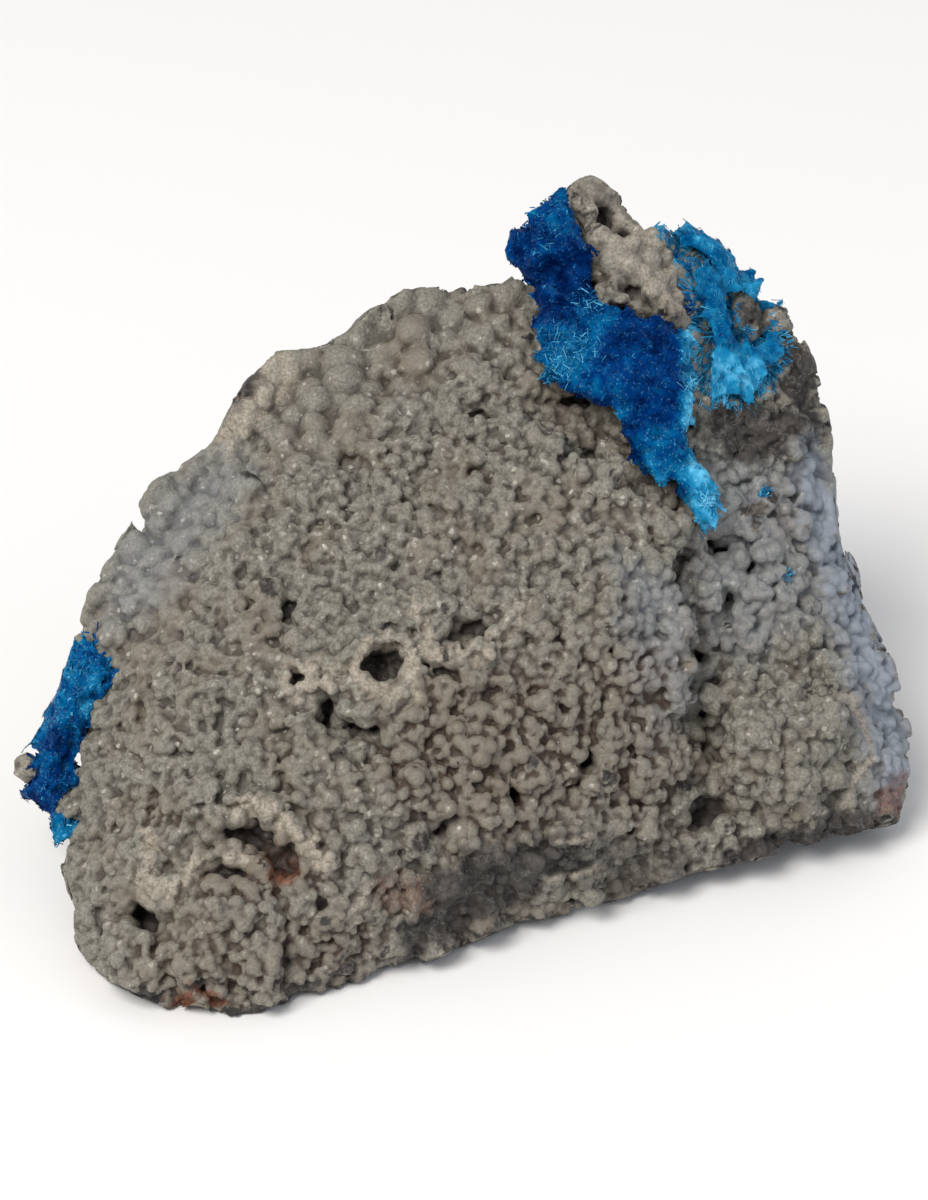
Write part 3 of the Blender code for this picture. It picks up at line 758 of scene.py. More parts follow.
@dataclass(frozen=True)
class CavansiteFinish:
    """Cavansite: vitreous blue blades, deep blue in the mass and pale azure where thin, towards the tips of
    the blades.
    """

    name: str = "cavansite_blades"
    tones: tuple[str, ...] = ("#001442", "#00306c", "#02578a", "#2082ae", "#66c0e6")
    tip: str = "#9fd8ef"
    glow: str = "#6fc4f0"
    roughness: float = 0.28
    gloss: float = 0.07
    ior: float = 1.54

    def build(self) -> bpy.types.Material:
        """Make the material, which reads each blade's tone and the place along it."""
        look, tree, shader, place = new_material(self.name)
        tone = add_node(tree, "Attribute", {"attribute_name": "tone"}).outputs["Fac"]
        along = add_node(tree, "Attribute", {"attribute_name": "along"}).outputs["Fac"]
        steps = [index / (len(self.tones) - 1) for index in range(len(self.tones))]
        stops = list(zip(steps, self.tones))
        body = add_node(tree, "ValToRGB", {"stops": stops}, {"Fac": tone}).outputs["Color"]
        settings = {"From Min": 0.55, "From Max": 1.0, "To Min": 0.0, "To Max": 0.42}
        thin = add_node(tree, "MapRange", settings, {"Value": along}).outputs["Result"]
        clamped = {"operation": "MULTIPLY", "use_clamp": True}
        pale = add_node(tree, "Math", clamped, {0: thin, 1: tone}).outputs[0]
        colour = add_node(tree, "Mix", {"data_type": "RGBA", 7: linear(self.tip)}, {0: pale, 6: body})
        tree.links.new(colour.outputs[2], shader.inputs["Base Color"])
        stria = add_node(
            tree, "TexNoise", {"Scale": per_metre(0.35), "Detail": 2.0, "Roughness": 0.5}, {"Vector": place}
        )
        relief = add_node(
            tree, "Bump", {"Strength": 0.25, "Distance": 0.05 * MM}, {"Height": stria.outputs["Fac"]}
        )
        tree.links.new(relief.outputs["Normal"], shader.inputs["Normal"])
        shader.inputs["Roughness"].default_value = self.roughness
        shader.inputs["IOR"].default_value = self.ior
        shader.inputs["Specular IOR Level"].default_value = self.gloss
        shader.inputs["Specular Tint"].default_value = linear(self.glow)
        return look


@dataclass(frozen=True)
class ClearCrystalFinish:
    """Clear zeolite crystal: see-through and glassy."""

    name: str = "clear_zeolite_crystal"
    ior: float = 1.53

    def build(self) -> bpy.types.Material:
        """Make the material, with a faint growth haze in the relief."""
        look, tree, shader, place = new_material(self.name)
        haze = add_node(tree, "TexNoise", {"Scale": per_metre(0.4), "Detail": 2.0}, {"Vector": place})
        relief = add_node(
            tree, "Bump", {"Strength": 0.15, "Distance": 0.03 * MM}, {"Height": haze.outputs["Fac"]}
        )
        tree.links.new(relief.outputs["Normal"], shader.inputs["Normal"])
        shader.inputs["Base Color"].default_value = linear("#f4f7f8")
        shader.inputs["Transmission Weight"].default_value = 0.9
        shader.inputs["Roughness"].default_value = 0.06
        shader.inputs["IOR"].default_value = self.ior
        return look


@dataclass(frozen=True)
class FloorFinish:
    """Matt white studio paper."""

    name: str = "white_paper_floor"
    colour: str = "#f6f6f6"

    def build(self) -> bpy.types.Material:
        """Make the material, with the faintest fibre relief."""
        look, tree, shader, place = new_material(self.name)
        fibre = add_node(tree, "TexNoise", {"Scale": per_metre(1.5), "Detail": 2.0}, {"Vector": place})
        relief = add_node(
            tree, "Bump", {"Strength": 0.05, "Distance": 0.02 * MM}, {"Height": fibre.outputs["Fac"]}
        )
        tree.links.new(relief.outputs["Normal"], shader.inputs["Normal"])
        shader.inputs["Base Color"].default_value = linear(self.colour)
        shader.inputs["Roughness"].default_value = 0.9
        return look


# The block and its crust


class Stain(Enum):
    """Kinds of surface on the block other than plain crust, and painted cool light, which is bluish light
    painted on the crust and no kind of surface.
    """

    BASALT = "basalt"
    CREAM = "cream"
    RUST = "rust"
    # A brown stain; the material also darkens it in the crevices with painted shade
    UMBER = "umber"
    # Painted cool light: a share of bluish light painted on the crust, not a kind of surface
    COOL = "cool"


@dataclass(frozen=True)
class Patch:
    """A place on the display side with one kind of surface, or with painted cool light."""

    stain: Stain
    outline: Pixels
    soft: float = 8.0
    strength: float = 1.0
    half_width: float = 0.0

    def share(self, seen: np.ndarray) -> np.ndarray:
        """How much each seen place belongs to the patch: an area, or a line where it has a half width."""
        if self.half_width:
            depth = self.half_width - distance_to_line(seen, self.outline)
        else:
            depth = depth_inside(seen, self.outline)
        return smooth_step(-self.soft, self.soft, depth) * self.strength


@dataclass(frozen=True)
class Pit:
    """A hole in the crust: where it is seen, its half sizes across, up and in, and its turn in degrees."""

    across: float
    down: float
    wide: float
    high: float
    deep: float
    turn: float = 0.0


@dataclass(frozen=True)
class Rim:
    """A raised line of small lumps: where it is seen, the size of its lumps and how proud they stand."""

    line: Pixels
    radius: float = 0.65
    proud: float = 0.5


PATCHES = [
    Patch(
        Stain.BASALT,
        [(779, 328), (800, 330), (822, 370), (828, 415), (802, 425), (790, 400), (778, 372)],
        soft=5,
    ),
    Patch(
        Stain.BASALT,
        [(704, 405), (730, 398), (760, 402), (800, 405), (812, 420), (783, 440), (770, 458), (748, 470),
         (722, 455), (702, 440)],
        soft=7,
    ),
    Patch(
        Stain.BASALT,
        [(745, 268), (763, 285), (775, 300), (768, 322), (750, 335), (737, 318), (738, 290)],
        soft=5,
        strength=0.9,
    ),
    Patch(
        Stain.BASALT,
        [(404, 925), (420, 880), (470, 850), (530, 838), (590, 830), (600, 850), (560, 880), (500, 915),
         (440, 950), (404, 962)],
        soft=12,
        strength=0.9,
    ),
    Patch(
        Stain.BASALT,
        [(590, 838), (640, 838), (700, 850), (700, 880), (640, 895), (560, 895)],
        soft=10,
        strength=0.5,
    ),
    Patch(
        Stain.BASALT,
        [(232, 385), (255, 363), (268, 366), (252, 400), (238, 425), (222, 425)],
        soft=6,
        strength=0.8,
    ),
    Patch(Stain.BASALT, [(278, 988), (300, 984), (322, 990), (315, 1006), (280, 1008)], soft=4),
    Patch(
        Stain.BASALT,
        [(720, 850), (770, 835), (830, 820), (880, 805), (880, 840), (800, 860), (720, 880)],
        soft=7,
    ),
    Patch(Stain.BASALT, [(583, 183), (592, 182), (596, 192), (584, 197), (574, 196)], soft=4, strength=0.7),
    Patch(Stain.RUST, [(263, 845), (290, 843), (301, 862), (298, 880), (275, 878)], soft=5, strength=0.9),
    Patch(Stain.RUST, [(160, 1000), (180, 990), (196, 994), (192, 1012), (165, 1014)], soft=5),
    Patch(
        Stain.RUST,
        [(196, 990), (215, 985), (228, 1000), (222, 1012), (205, 1008)],
        soft=5,
        strength=0.9,
    ),
    Patch(
        Stain.RUST,
        [(370, 880), (400, 874), (432, 882), (425, 905), (385, 914), (368, 900)],
        soft=8,
        strength=0.4,
    ),
    Patch(Stain.RUST, [(876, 792), (900, 776), (912, 780), (904, 812), (880, 815)], soft=7, strength=0.7),
    Patch(
        Stain.UMBER,
        [(400, 690), (470, 660), (560, 670), (600, 760), (540, 830), (420, 820), (380, 750)],
        soft=45,
        strength=1.0,
    ),
    Patch(
        Stain.UMBER,
        [(560, 640), (660, 650), (690, 760), (640, 830), (560, 800)],
        soft=35,
        strength=0.75,
    ),
    Patch(
        Stain.UMBER,
        [(130, 950), (240, 930), (380, 900), (380, 990), (150, 1010)],
        soft=30,
        strength=0.6,
    ),
    Patch(Stain.UMBER, [(230, 820), (330, 830), (330, 890), (190, 900), (180, 870)], soft=14, strength=1.0),
    Patch(Stain.UMBER, [(473, 680), (505, 676), (515, 700), (480, 712)], soft=8, strength=0.9),
    Patch(Stain.UMBER, [(132, 797), (184, 793), (190, 818), (140, 822)], soft=10, strength=0.7),
    Patch(
        Stain.UMBER,
        [(240, 990), (330, 960), (330, 930), (220, 900), (150, 940), (160, 990)],
        soft=25,
        strength=0.4,
    ),
    # Painted cool light: bluish tint on the right flank, the upper left and the right of the front
    Patch(
        Stain.COOL,
        [(800, 420), (845, 500), (900, 650), (925, 780), (880, 800), (860, 700), (820, 600), (790, 480)],
        soft=25,
        strength=1.0,
    ),
    Patch(Stain.COOL, [(700, 470), (790, 460), (820, 600), (760, 660), (700, 640)], soft=30, strength=0.35),
    Patch(Stain.COOL, [(120, 540), (230, 430), (250, 480), (160, 600), (100, 640)], soft=25, strength=0.3),
    Patch(Stain.COOL, [(620, 560), (690, 590), (700, 700), (650, 760), (620, 660)], soft=20, strength=0.35),
    Patch(Stain.CREAM, ring((298, 680), (17, 15)), soft=4, strength=0.9, half_width=6),
    Patch(Stain.CREAM, ring((383, 668), (30, 27)), soft=5, strength=1.0, half_width=9),
    Patch(
        Stain.CREAM,
        [(273, 668), (300, 655), (335, 662), (345, 685), (325, 695), (280, 694)],
        soft=7,
        strength=0.7,
    ),
    Patch(
        Stain.CREAM,
        [(416, 597), (425, 597), (430, 630), (436, 640), (425, 655), (415, 650)],
        soft=6,
        strength=1.0,
    ),
    Patch(
        Stain.CREAM,
        [(418, 645), (440, 652), (470, 648), (490, 636), (488, 652), (470, 664), (440, 664)],
        soft=5,
        strength=0.9,
    ),
    Patch(
        Stain.CREAM,
        [(490, 636), (505, 622), (515, 600), (524, 602), (518, 630), (500, 650)],
        soft=6,
        strength=0.55,
    ),
    Patch(
        Stain.CREAM,
        [(232, 808), (255, 804), (275, 810), (300, 830), (330, 864)],
        soft=6,
        strength=1.0,
        half_width=10,
    ),
    Patch(
        Stain.CREAM,
        [(146, 833), (143, 860), (150, 885), (162, 903), (182, 886), (200, 862), (239, 850)],
        soft=6,
        strength=0.85,
        half_width=9,
    ),
    Patch(Stain.CREAM, [(380, 868), (366, 893), (349, 919)], soft=3, strength=0.8, half_width=3),
    Patch(Stain.CREAM, [(556, 843), (580, 840), (600, 833)], soft=3, strength=0.7, half_width=3),
    Patch(Stain.CREAM, [(545, 881), (570, 876), (600, 864)], soft=3, strength=0.7, half_width=3),
    Patch(
        Stain.CREAM,
        [(848, 694), (857, 713), (871, 737), (872, 756), (855, 780), (849, 801)],
        soft=3,
        strength=1.0,
        half_width=2.5,
    ),
    Patch(
        Stain.CREAM,
        [(282, 360), (264, 394), (247, 418), (228, 440)],
        soft=9,
        strength=0.9,
        half_width=14,
    ),
    Patch(Stain.CREAM, [(690, 500), (704, 500), (708, 526), (694, 526)], soft=5, strength=0.9),
    Patch(
        Stain.CREAM,
        [(586, 176), (620, 200), (655, 230), (684, 290), (689, 322), (660, 310), (610, 250), (580, 205)],
        soft=10,
        strength=0.5,
    ),
]

PITS = [
    Pit(298, 680, 1.1, 1.0, 1.3),
    Pit(386, 668, 2.5, 2.2, 2.4),
    Pit(328, 713, 0.8, 2.2, 3.5),
    Pit(362, 727, 2.9, 0.8, 3.0),
    Pit(468, 633, 3.4, 1.1, 1.3, 12),
    Pit(437, 669, 2.2, 0.5, 1.4, -20),
    Pit(147, 918, 1.7, 1.9, 4.0, 45),
    Pit(252, 836, 3.0, 1.3, 2.0),
    Pit(285, 862, 1.7, 1.6, 1.6),
    Pit(198, 820, 0.6, 0.5, 1.2),
    Pit(223, 872, 2.8, 0.9, 2.4),
    Pit(449, 826, 2.4, 0.8, 2.4, 25),
    Pit(512, 796, 0.9, 0.8, 2.4),
    Pit(588, 760, 0.9, 0.9, 2.0),
    Pit(327, 903, 0.6, 0.9, 1.6),
    Pit(287, 956, 1.2, 1.6, 1.6),
    Pit(340, 460, 0.8, 0.8, 2.4),
    Pit(289, 607, 0.9, 1.6, 2.0),
    Pit(533, 469, 0.5, 0.5, 1.2),
    Pit(349, 340, 0.6, 0.9, 1.4),
    Pit(487, 419, 1.8, 0.6, 1.6),
    Pit(383, 380, 0.5, 1.4, 1.4),
    Pit(72, 735, 1.2, 0.6, 1.6),
    Pit(798, 602, 0.8, 1.0, 1.4),
    Pit(749, 570, 0.6, 0.6, 1.4),
    Pit(719, 549, 1.3, 0.8, 2.6),
    Pit(729, 599, 0.8, 0.8, 2.6),
    Pit(703, 711, 0.8, 0.9, 3.0),
    Pit(699, 656, 0.6, 1.2, 2.6),
    Pit(713, 686, 0.8, 0.8, 2.2),
    Pit(706, 814, 2.2, 1.5, 2.8, 15),
    Pit(771, 840, 1.0, 0.7, 1.6),
    Pit(684, 865, 1.4, 0.5, 1.8, 15),
    Pit(861, 707, 0.5, 1.1, 0.7),
    Pit(605, 216, 1.1, 1.6, 2.4),
    Pit(624, 233, 1.2, 0.8, 2.2, -15),
    Pit(630, 290, 1.3, 0.7, 2.0, -20),
    Pit(668, 290, 0.5, 1.2, 0.9, 30),
    Pit(583, 400, 2.4, 0.8, 2.2),
    Pit(492, 693, 1.8, 0.8, 1.3, 30),
]

RIMS = [
    Rim(ring((298, 680), (17, 15))),
    Rim(ring((384, 668), (31, 28), 18), 0.5, 0.7),
    Rim(ring((383, 668), (34, 31), 16), 0.5, 0.4),
    Rim([(345, 657), (365, 645), (395, 643), (408, 655)], 0.7, 0.8),
    Rim([(333, 690), (345, 703), (372, 708), (400, 702), (412, 690)], 1.0, 0.9),
    Rim([(420, 597), (418, 625), (424, 652)], 0.7),
    Rim([(418, 648), (436, 657), (455, 655), (470, 658), (490, 644)], 0.7, 0.8),
    Rim([(490, 640), (505, 628), (515, 610), (521, 600)], 0.75),
    Rim([(232, 808), (255, 806), (273, 810), (290, 822), (308, 842), (328, 864)], 0.8, 0.8),
    Rim([(146, 833), (144, 855), (148, 880), (160, 903)], 0.8, 0.6),
    Rim([(163, 898), (182, 886), (198, 864), (220, 854), (239, 848)], 0.75, 0.6),
    Rim([(380, 871), (365, 895), (349, 919)], 0.4, 0.3),
    Rim([(556, 843), (580, 840), (600, 833)], 0.35, 0.3),
    Rim([(545, 881), (570, 876), (600, 864)], 0.35, 0.3),
    Rim([(848, 694), (857, 713), (871, 737), (872, 756), (855, 780), (849, 801)], 0.35, 0.4),
    Rim([(280, 363), (263, 394), (246, 418), (232, 432)], 1.3, 0.5),
    Rim([(694, 505), (699, 522)], 0.7, 0.6),
]

# Where the thin blue spray lies on the right flank
FLANK_BLUE = [
    (653, 226),
    (674, 215),
    (702, 226),
    (730, 262),
    (748, 272),
    (738, 292),
    (744, 322),
    (757, 332),
    (775, 318),
    (784, 332),
    (781, 372),
    (755, 407),
    (715, 400),
    (692, 396),
    (686, 345),
    (686, 300),
    (681, 275),
]

# The outline of the whole specimen on its display side
OUTLINE = [
    (588, 176), (560, 190), (530, 208), (515, 225), (505, 250), (509, 268), (516, 284), (500, 285),
    (455, 286), (405, 290), (375, 312), (345, 338), (310, 350), (275, 353), (250, 380), (235, 400),
    (222, 430), (200, 456), (165, 475), (140, 500), (130, 530), (110, 560), (90, 590), (78, 625),
    (60, 690), (45, 720), (30, 745), (12, 760), (12, 778), (22, 792), (40, 806), (54, 840),
    (68, 880), (75, 905), (74, 940), (85, 958), (110, 980), (150, 1000), (168, 1010), (197, 1001),
    (228, 1017), (262, 1011), (350, 985), (430, 960), (520, 920), (556, 916), (640, 893), (700, 869),
    (770, 857), (830, 838), (895, 820), (908, 792), (912, 740), (905, 700), (890, 655), (862, 603),
    (839, 545), (832, 500), (832, 430), (820, 380), (800, 330), (775, 288), (742, 262), (710, 238),
    (682, 219), (650, 214), (620, 195), (598, 180),
]

# The numbers that a piece of crust keeps for its material, painted crevice shade and painted cool light among
# them
LAYERS = ("hollow", "pit", *(stain.value for stain in Stain))

# Further out than any part of the specimen
FAR = 150.0

# Where the crust is coarser or finer than elsewhere: across, down, reach, the radius of its lumps and that of
# the small knobs on them
LUMP_ZONES = [
    (350, 400, 60, 2.0, 0.0),
    (300, 400, 40, 1.8, 0.0),
    (440, 330, 85, 2.2, 0.05),
    (640, 255, 45, 1.3, 0.1),
    (595, 205, 25, 1.0, 0.15),
    (200, 520, 80, 1.7, 0.1),
    (130, 640, 60, 1.6, 0.2),
    (250, 470, 60, 1.5, 0.3),
    (170, 750, 90, 1.5, 0.5),
    (150, 880, 70, 1.8, 0.5),
    (250, 950, 80, 1.6, 0.5),
    (420, 480, 90, 1.3, 0.55),
    (540, 470, 110, 1.4, 0.55),
    (330, 600, 90, 1.4, 0.5),
    (500, 620, 110, 1.5, 0.5),
    (470, 760, 110, 1.7, 0.55),
    (600, 760, 90, 1.6, 0.55),
    (610, 600, 70, 1.5, 0.6),
    (690, 600, 50, 1.6, 0.5),
    (780, 540, 80, 1.5, 0.65),
    (780, 740, 80, 2.2, 0.6),
    (880, 700, 60, 1.3, 0.5),
]

# Where the form lies further in than the solid, or further out: across, down, reach and depth
TRIMS = [
    (385, 290, 50, 0.4),
    (330, 345, 30, -0.5),
    (100, 965, 35, -0.8),
    (900, 790, 35, -0.8),
    (150, 500, 45, -1.0),
    (100, 590, 40, -1.2),
    (80, 640, 30, -0.8),
    (800, 340, 30, -1.2),
    (635, 205, 22, 0.3),
    (205, 425, 40, 0.6),
    (868, 570, 45, 0.9),
    (800, 862, 60, 1.0),
    (420, 968, 90, 0.4),
    (85, 915, 55, -0.9),
    (598, 178, 22, 0.6),
]


@dataclass(frozen=True)
class Growth:
    """One generation of bumps: their size beside the knobs there, how close and how sunk they are."""

    spread: tuple[float, float]
    closeness: float
    sunk: float
    tries: int
    bare_share: float


@dataclass(frozen=True)
class Cut:
    """A share of the block that is one mesh: its name, its reach across and to the eye, its triangles."""

    name: str
    across: tuple[float, float]
    to_eye: tuple[float, float]
    triangles: int


@dataclass
class CrustedMatrix:
    """The block of basalt with the crust grown on it, as a back and two fronts that overlap a little."""

    cuts: tuple[Cut, ...] = (
        Cut("matrix_rock", (-FAR, FAR), (-FAR, 1.9), 130000),
        Cut("crust_left", (-FAR, 0.4), (1.5, FAR), 196000),
        Cut("crust_right", (0.0, FAR), (1.5, FAR), 196000),
    )
    core_voxel: float = 0.6
    core_depth: float = 0.95
    bare_depth: float = 0.15
    growth_voxel: float = 0.42
    skin_voxel: float = 0.21
    lump_spread: tuple[float, float] = (0.75, 1.22)
    lump_closeness: float = 1.36
    growths: tuple[Growth, ...] = (
        Growth(spread=(1.1, 2.3), closeness=1.7, sunk=0.35, tries=50000, bare_share=0.5),
    )
    knob_spread: tuple[float, float] = (0.75, 1.85)
    knob_closeness: float = 1.5
    knob_relief: float = 0.58
    knob_tries: int = 90000
    lump_proud: tuple[float, float] = (-0.45, 0.55)
    pit_growth: float = 0.5
    tries: int = 60000
    crystal_gap: float = 0.35
    bare_back: tuple[float, float] = (0.58, 0.76)
    seed: int = 5

    def build(self, frame: dict, look: bpy.types.Material) -> list[bpy.types.Object]:
        """Grow the crust on the block, sink its holes, cut it in its meshes and dress them.

        Args:
            frame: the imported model.
            look: the crust's material.

        Returns:
            The finished meshes of the block.
        """
        rng = np.random.default_rng(self.seed)
        core = self._core(frame)
        whole = Shape.of_object(core).tree()
        pits = self._pit_frames(whole)
        self._sink_pits(core, pits)
        grown = [Shape.of_object(core)]
        grown.append(self._lumps(grown[0], self._crystals(frame), pits, rng))
        for growth in self.growths:
            grown.append(self._bumps(Shape.joined(grown), growth, pits, rng))
        grown.append(self._beads(whole, rng))
        bpy.data.objects.remove(core)
        rock = Shape.joined(grown).to_object("grown")
        fuse(rock, self.skin_voxel * (1.0))
        self._roughen(rock, whole, pits, rng)
        parts = []
        for section in self.cuts:
            part = self._section(rock, section)
            self._paint(part, whole, pits)
            finish_piece(part, look, ["matrix"], True)
            parts.append(part)
        bpy.data.objects.remove(rock)
        return parts

    @staticmethod
    def _section(rock: bpy.types.Object, section: Cut) -> bpy.types.Object:
        """One mesh of the block, closed where it is cut, thinned out and held inside the outline."""
        bm = bmesh.new()
        bmesh.ops.create_cube(bm, size=1.0)
        box = Shape.of_bmesh(bm)
        spans = np.array([section.across, (-FAR, FAR), section.to_eye])
        directions = np.stack([np.array([1.0, 0.0, 0.0]), DISPLAY.lean, DISPLAY.to_eye], axis=1)
        box.corners = (box.corners * (spans[:, 1] - spans[:, 0]) + spans.mean(axis=1)) @ directions.T
        keeper = box.to_object("keeper")
        part = Shape.of_object(rock).to_object(section.name)
        with_modifier(part, "BOOLEAN", {"operation": "INTERSECT", "object": keeper, "solver": "MANIFOLD"})
        bpy.data.objects.remove(keeper)
        thin_out(part, section.triangles)
        corners = held_inside(Shape.of_object(part).corners, OUTLINE)
        corners[:, 2] = np.maximum(corners[:, 2], 0.0)
        move_corners(part, corners)
        return part

    def _core(self, frame: dict) -> bpy.types.Object:
        """The smooth form that the lumps stand on, a little smaller than the solid."""
        core = solid_of(frame, "matrix", "core")
        fuse(core, self.core_voxel)
        soften(core, 4)
        corners, normals = Shape.of_object(core).corners, normals_of(core)
        bare = self.stains(corners, normals)[Stain.BASALT.value]
        depth = self.core_depth * (1 - bare) + self.bare_depth * bare
        seen = DISPLAY.seen_at(corners)
        for across, down, reach, inward in TRIMS:
            depth += nearness(seen, across, down, reach) * inward
        swell = soft_noise(corners, 4.5, 31) * 0.2 * (1 - bare)
        move_corners(core, corners + normals * (swell - depth)[:, None])
        return core

    @staticmethod
    def _crystals(frame: dict) -> BVHTree:
        """The blue crystals' solids, which the crust leaves clear."""
        names = ("cavansite_crest", "cavansite_flank", "cavansite_left")
        return Shape.joined([Shape.of_object(frame["nodes"][name]) for name in names]).tree()

    @staticmethod
    def sizes_at(places: np.ndarray) -> np.ndarray:
        """How large the crust's lumps and its small knobs are at each place, as two columns of radii."""
        seen = DISPLAY.seen_at(places)
        total = np.full(len(places), 0.08)
        sizes = total[:, None] * np.array([[1.5, 0.5]])
        for across, down, reach, lump, knob in LUMP_ZONES:
            near = nearness(seen, across, down, reach)
            total += near
            sizes += near[:, None] * np.array([[lump, knob]])
        return sizes / total[:, None]

    def stains(self, places: np.ndarray, normals: np.ndarray) -> dict[str, np.ndarray]:
        """How much of each kind of surface, and of painted cool light, there is at each place.

        Args:
            places: one row of three coordinates for each place.
            normals: the direction of the smooth form there.

        Returns:
            One share for each place, by the kind's name.
        """
        seen = DISPLAY.seen_at(places)
        wander = np.stack([soft_noise(places, 2.6, 11), soft_noise(places, 2.6, 12)], axis=1) * 11
        wander += np.stack([soft_noise(places, 0.8, 13), soft_noise(places, 0.8, 14)], axis=1) * 8
        facing = smooth_step(-0.12, 0.12, (unit(DISPLAY.eye - places) * normals).sum(axis=1))
        shares = {stain.value: np.zeros(len(places)) for stain in Stain}
        for patch in PATCHES:
            stir = 0.3 if patch.half_width and patch.half_width < 6 else 1.0
            share = patch.share(seen + wander * stir) * facing
            shares[patch.stain.value] = np.maximum(shares[patch.stain.value], share)
        ragged = soft_noise(places, 4.0, 21) * 0.16 + soft_noise(places, 1.3, 22) * 0.08
        behind = smooth_step(*self.bare_back, normals[:, 1] + ragged)
        beneath = smooth_step(0.45, 0.65, -normals[:, 2] + ragged)
        bare = np.maximum(behind, beneath)
        shares[Stain.BASALT.value] = np.maximum(shares[Stain.BASALT.value], bare)
        # No painted cool light on the bare basalt
        shares[Stain.COOL.value] *= 1 - bare
        return shares

    @staticmethod
    def _pit_share(places: np.ndarray, pits: PitFrames, grown: float) -> np.ndarray:
        """How much each place is in a pit that is this much larger than its cut."""
        share = np.zeros(len(places))
        for middle, axes in pits:
            inside = np.linalg.norm((places - middle) @ np.linalg.inv(axes).T, axis=1)
            share = np.maximum(share, 1 - smooth_step(grown - 0.2, grown + 0.2, inside))
        return share

    def _lumps(
        self,
        core: Shape,
        crystals: BVHTree,
        pits: PitFrames,
        rng: np.random.Generator,
    ) -> Shape:
        """The round lumps of the crust, each sunk in the core, and smaller ones on the walls of the pits.

        Args:
            core: the smooth form.
            crystals: the blue crystals' solids.
            pits: the middle and the scaled directions of each pit.
            rng: the source of chance.

        Returns:
            The lumps, joined.
        """

        def room(places: np.ndarray, normals: np.ndarray) -> np.ndarray:
            """The room that a lump needs, from its size and the crust there."""
            shares = self.stains(places, normals)
            bare = np.maximum(shares[Stain.BASALT.value], shares[Stain.RUST.value] * 0.6)
            size = self.sizes_at(places)[:, 0] * rng.uniform(*self.lump_spread, len(places))
            size = size * (1 - 0.4 * self._pit_share(places, pits, 1.1))
            covered = depth_inside(DISPLAY.seen_at(places), FLANK_BLUE) > 6
            return np.where((bare > 0.5) | covered, 0.0, size * self.lump_closeness)

        tries = self.tries
        places, normals, rooms = scatter(core, room, tries, rng)
        clear = [crystals.find_nearest(Vector(place))[3] > self.crystal_gap for place in places]
        places, normals, rooms = places[clear], normals[clear], rooms[clear]
        radii = rooms / self.lump_closeness
        sunk = np.maximum(radii - self.core_depth - rng.uniform(*self.lump_proud, len(radii)), radii * 0.1)
        stretch = rng.uniform(0.88, 1.12, (len(radii), 3)) * radii[:, None]
        turns = random_turns(len(radii), rng) * stretch[:, None, :]
        LOG.info("%d lumps", len(radii))
        kinds = [self._lump(seed) for seed in range(3)]
        share = np.arange(len(radii)) % len(kinds)
        middles = places - normals * sunk[:, None]
        groups = [kind.copies(turns[share == i], middles[share == i]) for i, kind in enumerate(kinds)]
        return Shape.joined(groups)

    def _bumps(self, grown: Shape, growth: Growth, pits: PitFrames, rng: np.random.Generator) -> Shape:
        """One generation of smaller bumps that swell out of what has grown so far.

        Args:
            grown: the crust so far, not fused yet.
            growth: how the bumps are.
            pits: the middle and the scaled directions of each pit.
            rng: the source of chance.

        Returns:
            The bumps, joined.
        """

        def room(places: np.ndarray, normals: np.ndarray) -> np.ndarray:
            """The room that a bump needs, and none where the crust is smooth, and little on bare rock."""
            shares = self.stains(places, normals)
            size = self.sizes_at(places)[:, 1]
            there = rng.random(len(places)) < smooth_step(0.1, 0.4, size)
            front = (unit(DISPLAY.eye - places) * normals).sum(axis=1) > -0.3
            sparse = front & (rng.random(len(places)) < growth.bare_share)
            there &= (shares[Stain.BASALT.value] < 0.6) | sparse
            there &= self._pit_share(places, pits, 1.0) < 0.5
            there &= depth_inside(DISPLAY.seen_at(places), FLANK_BLUE) < 6
            radius = np.maximum(size, 0.4) * rng.uniform(*growth.spread, len(places))
            return np.where(there, radius * growth.closeness, 0.0)

        skin = grown.to_object("skin")
        fuse(skin, self.growth_voxel)
        surface = Shape.of_object(skin)
        bpy.data.objects.remove(skin)
        tries = growth.tries
        places, normals, rooms = scatter(surface, room, tries, rng)
        radii = rooms / growth.closeness
        LOG.info("%d bumps", len(radii))
        middles = places - normals * (radii * growth.sunk)[:, None]
        stretch = rng.uniform(0.82, 1.18, (len(radii), 3)) * radii[:, None]
        turns = random_turns(len(radii), rng) * stretch[:, None, :]
        return self._lump(3, 2).copies(turns, middles)

    @staticmethod
    def _lump(seed: int, fineness: int = 3) -> Shape:
        """One lump of radius 1, with smaller swellings on it."""
        bm = bmesh.new()
        bmesh.ops.create_icosphere(bm, subdivisions=fineness, radius=1.0)
        shape = Shape.of_bmesh(bm)
        swell = soft_noise(shape.corners, 0.8, 40 + seed) * 0.1
        swell += soft_noise(shape.corners, 0.4, 50 + seed) * 0.04
        return Shape(shape.corners * (1 + swell)[:, None], shape.faces)

    def _beads(self, tree: BVHTree, rng: np.random.Generator) -> Shape:
        """The small lumps along the raised rims and ridges."""
        middles, radii = [], []
        for rim in RIMS:
            step = rim.radius * 0.75 / DISPLAY.pixel
            for start, end in zip(rim.line, rim.line[1:]):
                span = Vector(end) - Vector(start)
                for index in range(max(1, round(span.length / step))):
                    spot = Vector(start) + span * (index * step / max(span.length, step))
                    spot += Vector(rng.normal(0, 2.6, 2))
                    place, normal = DISPLAY.on_surface(tree, spot.x, spot.y)
                    radius = rim.radius * rng.uniform(0.45, 1.05)
                    middles.append(place + normal * (self.core_depth * 0.6 + rim.proud - radius * 0.4))
                    radii.append(radius)
        turns = random_turns(len(radii), rng) * np.array(radii)[:, None, None]
        return self._lump(7).copies(turns, np.array([tuple(middle) for middle in middles]))

